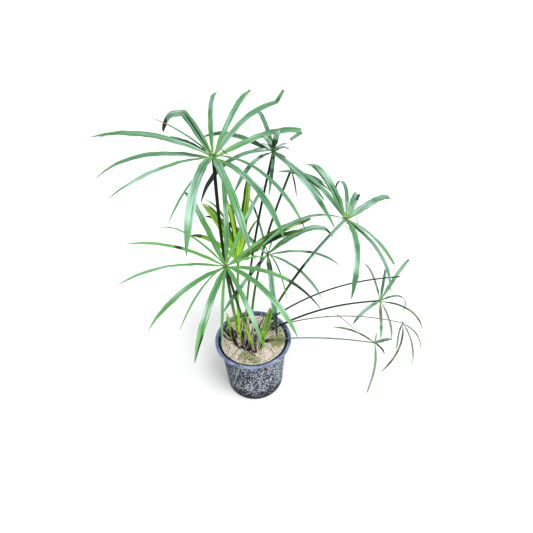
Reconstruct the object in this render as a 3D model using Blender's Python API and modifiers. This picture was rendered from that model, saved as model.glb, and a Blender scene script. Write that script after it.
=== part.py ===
# Potted umbrella sedge in a rimmed nursery pot, in metres, +Z up.
# The origin is the middle of the pot's flat underside, and -Y is the side that the picture shows.

import math

import bmesh
import bpy
from mathutils import Vector

MM = 0.001

# Pot
POT_HEIGHT = 0.150
RIM_RADIUS = 0.090
RIM_WIDTH = 0.0075
RIM_THICKNESS = 0.0048
BODY_TOP_RADIUS = 0.0795
BASE_RADIUS = 0.068
BASE_ROUNDING = 0.004
WALL = 0.0022
FLOOR = 0.003
BEAD_DROP = 0.0135  # from the pot's top down to the fine ring under the rim
BEAD_REACH = 0.0012
INNER_CORNER = 0.002  # how much the inside corners of floor and rim are cut off
LIP_BEVEL = 0.0014  # on the inner edge of the rim's top
RIM_FILLET = 0.0006  # where the rim's underside meets the wall
POT_SEGMENTS = 32

# Soil
SOIL_DROP = 0.009  # from the pot's top to the soil at the wall
SOIL_CROWN = 0.0005  # how much higher the soil is in the middle
SOIL_FOOT = 0.003  # how far the soil keeps from the pot's inside corner, sideways and up
SOIL_RINGS = 4
SOCKET_DEPTH = 0.010
GAP = 0.0003  # between any two solids that touch in the real plant
CUTTER_GROWTH = 0.00035

# Leaves and stems
HUB_RADIUS = 0.0036  # the knot that ends a culm, where its bracts grow
HUB_BELOW = (0.009, 0.003)  # where the culm starts to swell and where it is widest, under its top
HUB_ABOVE = 0.002
HUB_TOP = 0.8  # the knot's top over its widest radius
KNOT_RADIUS = 0.0041  # the knot of a crown that is one node
BRACT_START = 0.0048  # how far from the culm's axis a separate bract begins
TIER_HEIGHT = 0.0026
BRACT_POINTS = 8
BRACT_FOOT = 0.30  # width at the hub over the widest width
BRACT_TIP = 0.18
BRACT_OPENING = 3.2  # how much of the width is gained for each length passed
BRACT_CLOSING = 3.4
DROOP_POWER = 1.5  # a bract bends more and more towards its tip
BRACT_DEPTH = 0.14  # thickness over width
BRACT_KEEL = 0.16  # how far the midrib lies under the edges, over width
CULM_POINTS = 8
COLLAR = 0.007  # how far a culm stands straight up out of the soil before it leans

# Each culm: where it leaves the soil (x, y), its top (x, y, z), how far its middle bows (x, z),
# and its radius at the soil and at the top. All in millimetres.
CULMS = {
    "culm_top": ((-31, -2), (-44, -20, 609), (-8, 0), (3.4, 3.1)),
    "culm_front": ((2, -31), (-39, -50, 407), (-3, 0), (2.8, 2.6)),
    "culm_rear": ((-20, 40), (56, 90, 566), (-9, 0), (2.7, 2.5)),
    "culm_right": ((21, 14), (186, 0, 466), (-11, 12), (2.4, 3.1)),
    "culm_middle": ((56, 24), (41, 70, 337), (5, 0), (2.4, 2.2)),
    "culm_young": ((-30, -16), (-21, 10, 368), (-3, 0), (3.1, 2.6)),
    "culm_back": ((-6, 56), (94, 150, 499), (-15, 0), (2.6, 2.4)),
    "culm_low_right": ((34, 18), (281, 0, 256), (-4, 22), (2.2, 2.0)),
    "culm_lowest": ((26, -8), (277, -30, 153), (0, 12), (1.7, 1.5)),
    "culm_dry": ((46, 34), (359, 30, 153), (0, 30), (1.3, 1.1)),
    "culm_bare": ((30, 50), (334, 40, 290), (-8, 33), (1.9, 1.3)),
}

# Each bract: compass angle (0 is +X, 90 is +Y), rise at the hub, droop from hub to tip, length,
# width, sideways sweep, and the tier on the hub. Angles in degrees, lengths in millimetres.
TOP_BRACTS = {
    "a": (98, 30, 44, 210, 8, -13, 2),
    "b": (71, 31, 35, 195, 8.5, 0, 0),
    "c": (53, 31, 45, 193, 10, -10, 1),
    "d": (34, 14, 35, 194, 11.5, 5, 0),
    "e": (314, 13, 68, 222, 6, -6, 2),
    "f": (306, 8, 65, 210, 10, -4, 0),
    "g": (283, 11, 52, 235, 12, 6, 1),
    "j": (264, 14, 63, 232, 12, 2, 2),
    "k": (258, 8, 34, 182, 4, -6, 0),
    "l": (228, 14, 34, 188, 8, -2, 1),
    "m": (183, 13, 51, 201, 10, 1, 0),
    "n": (184, 29, 42, 188, 11.5, 0, 2),
    "o": (137, 14, 42, 152, 10, -2, 0),
    "p": (139, 19, 21, 161, 3, 0, 2),
    "q": (124, 43, 115, 203, 12, 7, 1),
}
FRONT_BRACTS = {
    "a": (88, 36, 39, 232, 10, 12, 1),
    "b": (119, 31, 42, 230, 12, -6, 0),
    "c": (139, 28, 54, 183, 5, 8, 1),
    "d": (180, 36, 45, 184, 6.5, 1, 1),
    "e": (210, 30, 44, 197, 9, 0, 1),
    "f": (227, 12, 55, 186, 11.5, -2, 0),
    "g": (254, 24, 45, 192, 3.5, -2, 2),
    "h": (262, 15, 51, 216, 12, -4, 0),
    "i": (272, 20, 56, 198, 5.5, -1, 1),
    "j": (287, 15, 51, 205, 8.5, 6, 2),
    "k": (311, 16, 68, 206, 11, -4, 1),
    "l": (334, 18, 72, 204, 11, -3, 0),
    "m": (15, 16, 47, 83, 6.5, 4, 1),
    "n": (42, 12, 28, 109, 6.5, 14, 0),
    "o": (65, 29, 27, 209, 9.5, 6, 2),
}
REAR_BRACTS = {
    "a": (217, 18, 86, 197, 9, 4, 1),
    "b": (246, 17, 45, 177, 8, 1, 0),
    "c": (143, 13, 43, 205, 8.5, -7, 0),
    "d": (102, 29, 44, 158, 9, -1, 1),
    "e": (269, 6, 43, 141, 6.5, -9, 1),
    "f": (279, 50, 30, 111, 9, -10, 2),
    "g": (298, -5, 41, 208, 8, 6, 1),
    "h": (287, 7, 10, 146, 8, 8, 0),
    "i": (251, 40, 10, 99, 5, 7, 2),
    "j": (30, 24, 39, 28, 7, 0, 0),
    "k": (342, -8, 30, 26, 5, 0, 0),
}
RIGHT_BRACTS = {
    "a": (105, 30, 58, 226, 13, 0, 1),
    "b": (126, 38, 66, 200, 8, 12, 0),
    "c": (76, 21, 66, 198, 7.5, 21, 0),
    "d": (64, 12, 44, 128, 9.5, 9, 1),
    "e": (40, 8, 39, 180, 10.5, 12, 0),
    "f": (302, 6, 48, 146, 6, -2, 1),
    "g": (304, -2, 84, 172, 7, 0, 0),
    "h": (283, 4, 70, 178, 9.5, -34, 1),
    "i": (215, 32, 66, 222, 8, 4, 1),
}
MIDDLE_BRACTS = {
    "a": (40, 15, 74, 252, 11.5, 1, 1),
    "b": (75, 10, 50, 152, 3.5, 10, 0),
    "c": (103, 29, 51, 215, 5.5, -2, 1),
    "d": (140, 25, 44, 209, 8, -3, 0),
    "e": (359, 14, 69, 182, 8.5, 0, 0),
    "f": (318, 9, 68, 166, 7.5, 1, 1),
    "g": (273, 12, 60, 221, 11, 1, 0),
    "h": (285, 24, 58, 172, 3, -6, 2),
    "i": (249, 11, 32, 205, 8.5, -11, 1),
}
YOUNG_BRACTS = {
    "a": (79, 34, 39, 249, 13, 11, 1),
    "b": (100, 24, 40, 240, 5, 26, 0),
    "c": (118, 28, 37, 196, 9, 0, 1),
    "d": (146, 34, 56, 130, 7.5, 6, 0),
    "e": (29, 26, 33, 186, 15, 0, 1),
    "f": (72, 22, 45, 153, 5, 2, 0),
    "g": (109, 29, 52, 219, 7, 11, 0),
    "h": (99, 33, 45, 194, 7, 3, 2),
    "i": (93, 29, 48, 196, 7, 12, 1),
}
BACK_BRACTS = {
    "a": (306, -2, 40, 110, 7, 3, 1),
    "b": (338, -2, 30, 80, 6, 0, 0),
    "c": (280, -14, 53, 66, 3.5, -2, 0),
    "d": (321, 0, 33, 100, 6.5, 2, 1),
}
LOW_RIGHT_BRACTS = {
    "a": (91, 19, 53, 152, 3.5, 5, 1),
    "b": (70, 13, 62, 172, 4.5, 0, 0),
    "c": (50, 19, 43, 176, 6, 6, 1),
    "d": (22, 10, 120, 112, 4, -6, 1),
    "e": (340, 10, 94, 126, 4, -14, 0),
    "f": (266, -38, 46, 88, 6, 10, 0),
    "g": (306, -34, 50, 94, 6, -6, 1),
    "h": (214, 6, 50, 88, 7.5, 0, 1),
}
LOWEST_BRACTS = {
    "a": (280, -48, 32, 128, 5, -64, 0),
    "b": (15, 10, 30, 44, 7, 0, 1),
    "c": (322, -14, 50, 50, 5, 0, 1),
    "d": (162, 34, 46, 106, 4, 4, 1),
    "e": (70, 24, 50, 34, 3.5, 0, 0),
}
DRY_BRACTS = {
    "a": (335, -10, 72, 80, 4, -50, 0),
    "b": (306, -34, 44, 106, 4, -40, 1),
    "c": (268, -30, 22, 138, 5, -76, 0),
    "d": (232, -16, 72, 72, 4, 36, 1),
}
# Bracts with a crease near the tip: the share of the length before it, and how far the rise and
# the compass angle turn there.
CREASES = {"bract_top_c": (0.86, 58, -12)}
SHOOTS = {
    "shoot_left": ((-47, -6), (-56, 2, 231), (0, 0), (2.7, 1.6)),
    "shoot_right": ((14, -34), (45, -14, 260), (-4, 0), (3.8, 5.0)),
    "stalk_pale_left": ((-20, -12), (-18, 0, 178), (0, 0), (0.9, 0.7)),
    "stalk_pale_right": ((8, -20), (3, -10, 172), (0, 0), (0.9, 0.7)),
}

SEPARATE_CROWNS = {"top": ("culm_top", TOP_BRACTS), "front": ("culm_front", FRONT_BRACTS)}
JOINED_CROWNS = {
    "rear": ("culm_rear", REAR_BRACTS),
    "right": ("culm_right", RIGHT_BRACTS),
    "middle": ("culm_middle", MIDDLE_BRACTS),
    "young": ("culm_young", YOUNG_BRACTS),
    "back": ("culm_back", BACK_BRACTS),
    "low_right": ("culm_low_right", LOW_RIGHT_BRACTS),
    "lowest": ("culm_lowest", LOWEST_BRACTS),
    "dry": ("culm_dry", DRY_BRACTS),
}

# name: colour (linear), roughness
FINISHES = {
    "pot_plastic": ((0.065, 0.078, 0.105), 0.75),
    "soil_mix": ((0.45, 0.33, 0.22), 0.95),
    "green_bract": ((0.10, 0.33, 0.11), 0.45),
    "young_bract": ((0.12, 0.36, 0.02), 0.45),
    "culm_green": ((0.03, 0.07, 0.02), 0.5),
    "dry_straw": ((0.36, 0.31, 0.22), 0.8),
}


def clear_scene():
    for obj in list(bpy.data.objects):
        bpy.data.objects.remove(obj, do_unlink=True)


def new_collection(name, shown):
    group = bpy.data.collections.new(name)
    group.hide_render = not shown
    bpy.context.scene.collection.children.link(group)
    return group


def make_finish(name):
    colour, roughness = FINISHES[name]
    material = bpy.data.materials.new(name)
    material.use_nodes = True
    shader = material.node_tree.nodes["Principled BSDF"]
    shader.inputs["Base Color"].default_value = (*colour, 1.0)
    shader.inputs["Roughness"].default_value = roughness
    shader.inputs["Metallic"].default_value = 0.0
    return material


def add_object(name, data, group, finish):
    obj = bpy.data.objects.new(name, data)
    group.objects.link(obj)
    if finish is not None:
        obj.data.materials.append(finish)
    return obj


def turned(name, outline, group, finish, segments):
    """A closed body turned from (radius, height) points that run up the inside and down the outside."""
    mesh = bpy.data.meshes.new(name)
    points = [(radius, 0.0, height) for radius, height in outline]
    mesh.from_pydata(points, [(i, i + 1) for i in range(len(points) - 1)], [])
    obj = add_object(name, mesh, group, finish)
    screw = obj.modifiers.new("Screw", "SCREW")
    screw.steps = screw.render_steps = segments
    screw.use_merge_vertices = True
    screw.merge_threshold = 0.00001
    screw.use_smooth_shade = True
    return obj


def arc(centre, radius, start, end, steps):
    """Points along an arc in (radius, height), with angles in degrees."""
    turns = [math.radians(start + (end - start) * i / steps) for i in range(steps + 1)]
    return [(centre[0] + radius * math.cos(t), centre[1] + radius * math.sin(t)) for t in turns]


def wall_radius(height):
    """The outside of the pot's tapering wall at this height."""
    return BASE_RADIUS + (BODY_TOP_RADIUS - BASE_RADIUS) * height / POT_HEIGHT


def pot_outline():
    bead = POT_HEIGHT - BEAD_DROP
    lip = RIM_THICKNESS / 2
    inner_rim = RIM_RADIUS - RIM_WIDTH
    under = POT_HEIGHT - RIM_THICKNESS
    corner = (wall_radius(BASE_ROUNDING) - BASE_ROUNDING, BASE_ROUNDING)
    outline = [(0.0, FLOOR), (wall_radius(FLOOR) - WALL - INNER_CORNER, FLOOR)]
    outline += [(wall_radius(FLOOR) - WALL, FLOOR + INNER_CORNER)]
    outline += [(wall_radius(under) - WALL, under - INNER_CORNER)]
    outline += [(inner_rim, POT_HEIGHT - LIP_BEVEL), (inner_rim + LIP_BEVEL, POT_HEIGHT)]
    outline += arc((RIM_RADIUS - lip, POT_HEIGHT - lip), lip, 90, -90, 4)
    outline += [(wall_radius(under) + RIM_FILLET, under - RIM_FILLET)]
    outline += [(wall_radius(bead), bead + BEAD_REACH), (wall_radius(bead) + BEAD_REACH, bead)]
    outline += [(wall_radius(bead), bead - BEAD_REACH)]
    outline += arc(corner, BASE_ROUNDING, 0, -90, 2)
    outline += [(0.0, 0.0)]
    return outline


def soil_height(radius):
    reach = wall_radius(POT_HEIGHT - SOIL_DROP) - WALL
    return POT_HEIGHT - SOIL_DROP + SOIL_CROWN * (1 - (radius / reach) ** 2)


def soil_outline():
    edge = wall_radius(POT_HEIGHT - SOIL_DROP) - WALL - GAP
    foot = wall_radius(FLOOR + SOIL_FOOT) - WALL - SOIL_FOOT
    rings = [edge * i / SOIL_RINGS for i in range(SOIL_RINGS + 1)]
    outline = [(radius, soil_height(radius)) for radius in rings]
    return outline + [(foot, FLOOR + GAP), (0.0, FLOOR + GAP)]


def curve_object(name, points, radii, group, finish, depth=0.0, profile=None):
    """A straight-jointed curve with filled ends, as thick as its radii times depth or the profile."""
    data = bpy.data.curves.new(name, "CURVE")
    data.dimensions = "3D"
    data.use_fill_caps = True
    if profile is None:
        data.bevel_depth = depth
        data.bevel_resolution = 1
    else:
        data.twist_mode = "Z_UP"
        data.bevel_mode = "OBJECT"
        data.bevel_object = profile
    spline = data.splines.new("POLY")
    spline.points.add(len(points) - 1)
    for target, point, radius in zip(spline.points, points, radii):
        target.co = (*point, 1.0)
        target.radius = radius
    return add_object(name, data, group, finish)


def bract_profile(group):
    """The folded cross-section of a bract, one unit wide, with its midrib below its edges."""
    data = bpy.data.curves.new("bract_section", "CURVE")
    data.dimensions = "2D"
    data.fill_mode = "NONE"
    spline = data.splines.new("POLY")
    half = BRACT_DEPTH / 2
    corners = [(-0.5, 0.0), (0.0, half - BRACT_KEEL), (0.5, 0.0), (0.0, -half - BRACT_KEEL)]
    spline.points.add(len(corners) - 1)
    for target, (across, up) in zip(spline.points, corners):
        target.co = (across, up, 0.0, 1.0)
    spline.use_cyclic_u = True
    obj = add_object("bract_section", data, group, None)
    obj.hide_render = True
    return obj


def bract_width(along):
    """Width over the widest width, from the narrow foot to the pointed tip."""
    opening = min(1.0, BRACT_FOOT + BRACT_OPENING * along)
    closing = min(1.0, BRACT_TIP + BRACT_CLOSING * (1.0 - along))
    return opening * closing


def bract_path(hub, bract, start, crease):
    angle, rise, droop, length, _, sweep, tier = bract
    heading = math.radians(angle)
    place = hub + Vector((start * math.cos(heading), start * math.sin(heading), (tier - 1) * TIER_HEIGHT))
    points = [place.copy()]
    step = length * MM / (BRACT_POINTS - 1)
    for i in range(BRACT_POINTS - 1):
        along = (i + 0.5) / (BRACT_POINTS - 1)
        past_crease = crease is not None and along > crease[0]
        climb = math.radians(rise - droop * along**DROOP_POWER + (crease[1] if past_crease else 0))
        turn = math.radians(angle + sweep * along + (crease[2] if past_crease else 0))
        place = place + step * Vector(
            (math.cos(climb) * math.cos(turn), math.cos(climb) * math.sin(turn), math.sin(climb))
        )
        points.append(place.copy())
    return points


def add_bract(name, hub, bract, start, group, finish, profile):
    points = bract_path(hub, bract, start, CREASES.get(name))
    width = bract[4] * MM
    radii = [width * bract_width(i / (BRACT_POINTS - 1)) for i in range(BRACT_POINTS)]
    return curve_object(name, points, radii, group, finish, profile=profile)


def culm_path(culm, extra=0.0):
    """Points from the foot of the culm in the soil up to its top, after extra metres below the foot."""
    (base_x, base_y), top, (bow_x, bow_z), _ = culm
    ground = soil_height(math.hypot(base_x, base_y) * MM)
    foot = Vector((base_x * MM, base_y * MM, ground - SOCKET_DEPTH - extra))
    collar = Vector((base_x * MM, base_y * MM, ground + COLLAR))
    end = Vector(top) * MM
    points = [foot]
    for i in range(CULM_POINTS - 1):
        along = i / (CULM_POINTS - 2)
        bow = 4 * along * (1 - along)
        points.append(collar.lerp(end, along) + bow * Vector((bow_x * MM, 0.0, bow_z * MM)))
    return points


def add_culm(name, culm, group, finish, knot=True):
    points = culm_path(culm)
    first, last = culm[3]
    radii = [(first + (last - first) * i / (CULM_POINTS - 1)) * MM for i in range(CULM_POINTS)]
    if knot:
        way = (points[-1] - points[-2]).normalized()
        top = points[-1]
        below, widest = HUB_BELOW
        points[-1:] = [top - below * way, top - widest * way, top + HUB_ABOVE * way]
        radii[-1:] = [radii[-1], HUB_RADIUS, HUB_RADIUS * HUB_TOP]
    return curve_object(name, points, radii, group, finish, depth=1.0)


def socket_cutter(name, culm, group):
    points = culm_path(culm, GAP)
    radius = culm[3][0] * MM + CUTTER_GROWTH
    cutter = as_mesh(curve_object(name, points, [radius] * len(points), group, None, depth=1.0))
    cutter.hide_render = True
    cutter.display_type = "WIRE"
    return cutter


def as_mesh(source):
    """A mesh object in the place of a curve object, with the curve's end caps welded on."""
    name, group = source.name, source.users_collection[0]
    bpy.context.view_layer.update()
    evaluated = source.evaluated_get(bpy.context.evaluated_depsgraph_get())
    mesh = bpy.data.meshes.new_from_object(evaluated)
    frame = source.matrix_world.copy()
    bpy.data.objects.remove(source, do_unlink=True)
    shape = bmesh.new()
    shape.from_mesh(mesh)
    bmesh.ops.remove_doubles(shape, verts=shape.verts, dist=0.000001)
    bmesh.ops.recalc_face_normals(shape, faces=shape.faces)
    shape.to_mesh(mesh)
    shape.free()
    mesh.name = name
    obj = bpy.data.objects.new(name, mesh)
    group.objects.link(obj)
    obj.matrix_world = frame
    return obj


def boolean(target, other, operation):
    modifier = target.modifiers.new(other.name, "BOOLEAN")
    modifier.operation = operation
    modifier.solver = "EXACT"
    modifier.object = other


def joined_crown(name, hub, bracts, parts, helpers, finish, profile):
    """One node for a whole crown: a small knot with all its bracts joined to it."""
    shape = bmesh.new()
    bmesh.ops.create_uvsphere(shape, u_segments=8, v_segments=5, radius=KNOT_RADIUS)
    mesh = bpy.data.meshes.new(name)
    shape.to_mesh(mesh)
    shape.free()
    crown = add_object(name, mesh, parts, finish)
    crown.location = hub
    for key, bract in bracts.items():
        piece = as_mesh(add_bract(f"{name}_{key}", hub, bract, 0.0, helpers, finish, profile))
        piece.hide_render = True
        piece.display_type = "WIRE"
        boolean(crown, piece, "UNION")
    return crown


def build():
    clear_scene()
    parts = new_collection("potted_umbrella_sedge", True)
    helpers = new_collection("cutters_and_guides", False)
    finish = {name: make_finish(name) for name in FINISHES}
    profile = bract_profile(helpers)

    turned("pot", pot_outline(), parts, finish["pot_plastic"], POT_SEGMENTS)
    soil = turned("soil", soil_outline(), parts, finish["soil_mix"], POT_SEGMENTS)

    stems = {**CULMS, **SHOOTS}
    for name, culm in stems.items():
        boolean(soil, socket_cutter("socket_" + name, culm, helpers), "DIFFERENCE")

    for name, culm in CULMS.items():
        dry = name in ("culm_dry", "culm_bare")
        colour = "dry_straw" if dry else "young_bract" if name == "culm_young" else "culm_green"
        separate = name in ("culm_top", "culm_front")
        add_culm(name, culm, parts, finish[colour], knot=separate)
    for name, shoot in SHOOTS.items():
        pale = name.startswith("stalk")
        add_culm(name, shoot, parts, finish["dry_straw" if pale else "young_bract"], knot=False)

    for place, (culm, bracts) in SEPARATE_CROWNS.items():
        hub = Vector(CULMS[culm][1]) * MM
        for key, bract in bracts.items():
            name = f"bract_{place}_{key}"
            add_bract(name, hub, bract, BRACT_START, parts, finish["green_bract"], profile)
    for place, (culm, bracts) in JOINED_CROWNS.items():
        # The knot sits on the end of the culm, just clear of it.
        before, top = culm_path(CULMS[culm])[-2:]
        lift = (KNOT_RADIUS + 2 * GAP) * (top - before).normalized()
        colour = {"young": "young_bract", "dry": "dry_straw"}.get(place, "green_bract")
        joined_crown(f"crown_{place}", top + lift, bracts, parts, helpers, finish[colour], profile)


build()
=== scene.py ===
import math
import random
from contextlib import contextmanager

import bmesh
import bpy
from mathutils import Matrix, Vector, noise


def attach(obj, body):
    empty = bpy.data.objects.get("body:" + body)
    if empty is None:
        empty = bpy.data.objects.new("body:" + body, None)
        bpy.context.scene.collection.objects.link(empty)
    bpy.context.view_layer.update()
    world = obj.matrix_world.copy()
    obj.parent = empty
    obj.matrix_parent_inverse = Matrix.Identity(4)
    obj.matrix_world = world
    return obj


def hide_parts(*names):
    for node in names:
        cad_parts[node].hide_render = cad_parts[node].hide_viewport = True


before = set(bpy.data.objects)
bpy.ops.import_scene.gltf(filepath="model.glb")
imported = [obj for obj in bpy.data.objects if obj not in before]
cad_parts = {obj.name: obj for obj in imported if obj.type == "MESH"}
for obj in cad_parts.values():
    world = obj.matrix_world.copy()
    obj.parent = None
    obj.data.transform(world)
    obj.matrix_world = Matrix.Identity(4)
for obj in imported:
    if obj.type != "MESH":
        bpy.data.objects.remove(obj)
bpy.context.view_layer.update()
print("frame loaded with", len(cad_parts), "nodes")

mm = 0.001
up = Vector((0, 0, 1))
anyTurn = (0, 6.28)  # radians, for random phases and spins


# selecting, applying and copying

def takeUp(*objects):
    bpy.ops.object.select_all(action="DESELECT")
    for obj in objects:
        obj.select_set(True)
    bpy.context.view_layer.objects.active = objects[0]


def applyModifiers(obj):
    takeUp(obj)
    for modifier in list(obj.modifiers):
        bpy.ops.object.modifier_apply(modifier=modifier.name)


def fresh(name):  # the primitive that was just added, with its place and turn in its mesh
    obj = bpy.context.object
    obj.name = obj.data.name = name
    takeUp(obj)
    bpy.ops.object.transform_apply(location=True, rotation=True, scale=True)
    return obj


@contextmanager
def editing():
    bpy.ops.object.mode_set(mode="EDIT")
    yield
    bpy.ops.object.mode_set(mode="OBJECT")


def pick(obj, kind, test):  # in edit mode; kind is verts or edges
    bpy.ops.mesh.select_mode(type={"verts": "VERT", "edges": "EDGE"}[kind])
    bpy.ops.mesh.select_all(action="DESELECT")
    shape = bmesh.from_edit_mesh(obj.data)
    for element in getattr(shape, kind):
        if test(element):
            element.select_set(True)
    bmesh.update_edit_mesh(obj.data)


def resize(amounts, centre=(0, 0, 0)):
    bpy.ops.transform.resize(value=amounts, center_override=centre)


def copyOf(master, name):
    obj = master.copy()
    obj.data = master.data.copy()
    obj.name = obj.data.name = name
    bpy.context.scene.collection.objects.link(obj)
    return obj


def joined(name, pieces):
    takeUp(*pieces)
    bpy.ops.object.join()
    obj = bpy.context.object
    obj.name = obj.data.name = name
    return obj


def smooth(obj, angle=50):
    takeUp(obj)
    bpy.ops.object.shade_smooth_by_angle(angle=math.radians(angle))


def thicken(obj, thickness):
    shell = obj.modifiers.new("shell", "SOLIDIFY")
    shell.thickness, shell.offset = thickness, 0
    applyModifiers(obj)


def paint(obj, name, rule):  # a number at each vertex, from its place
    values = obj.data.attributes.new(name, "FLOAT", "POINT")
    values.data.foreach_set("value", [rule(vert.co) for vert in obj.data.vertices])


def belongs(obj, slot, *nodes):  # rides on the one body, and stands for these nodes of the frame
    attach(obj, "root")
    if nodes:
        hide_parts(*nodes)


def ease(amount):  # 0 to 1 with soft ends
    amount = min(1, max(0, amount))
    return amount * amount * (3 - 2 * amount)


def around(radius, angle, height):
    return Vector((radius * math.cos(angle), radius * math.sin(angle), height))


def heading(angle, climb):  # one unit long, from radians
    return Vector((math.cos(climb) * math.cos(angle), math.cos(climb) * math.sin(angle), math.sin(climb)))


def layAlong(obj, points, widths, rolls=None, kind="POLY"):
    # A straight piece, from 0 to 1 along X, is bent onto these points and scaled by the widths.
    data = bpy.data.curves.new(obj.name + "Route", "CURVE")
    data.dimensions = "3D"
    data.twist_mode = "MINIMUM"
    data.use_path = data.use_stretch = data.use_deform_bounds = data.use_radius = True
    spline = data.splines.new(kind)
    spline.points.add(len(points) - 1)
    for i, target in enumerate(spline.points):
        target.co = (*points[i], 1)
        target.radius = widths[i]
        target.tilt = math.radians(rolls[i]) if rolls else 0
    if kind == "NURBS":
        spline.order_u = 4
        spline.use_endpoint_u = True
    route = bpy.data.objects.new(data.name, data)
    bpy.context.scene.collection.objects.link(route)
    bend = obj.modifiers.new("bend", "CURVE")
    bend.object = route
    bend.deform_axis = "POS_X"
    applyModifiers(obj)
    bpy.data.objects.remove(route)


# colours and nodes

def linear(code):
    parts = [int(code[i:i + 2], 16) / 255 for i in (1, 3, 5)]
    return (*[p / 12.92 if p <= 0.04045 else ((p + 0.055) / 1.055) ** 2.4 for p in parts], 1)


def addNode(tree, kind, sockets=(), stops=(), **settings):
    # sockets: what goes into each input, a value or another node's output; stops: a ramp's colours
    node = tree.nodes.new("ShaderNode" + kind)
    for name, value in settings.items():
        setattr(node, name, value)
    for i, (place, colour) in enumerate(stops):
        stop = node.color_ramp.elements[i] if i < 2 else node.color_ramp.elements.new(place)
        stop.position = place
        stop.color = linear(colour)
    for socket, value in dict(sockets).items():
        if isinstance(value, bpy.types.NodeSocket):
            tree.links.new(value, node.inputs[socket])
        else:
            node.inputs[socket].default_value = value
    return node


def newMaterial(name, **values):  # values go straight onto the shader's own sockets
    material = bpy.data.materials.new(name)
    material.use_nodes = True
    shader = material.node_tree.nodes["Principled BSDF"]
    for socket, value in values.items():
        shader.inputs[socket.replace("_", " ")].default_value = value
    return material, material.node_tree, shader


factor, first, second = 0, 6, 7  # the sockets of a colour Mix node


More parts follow.
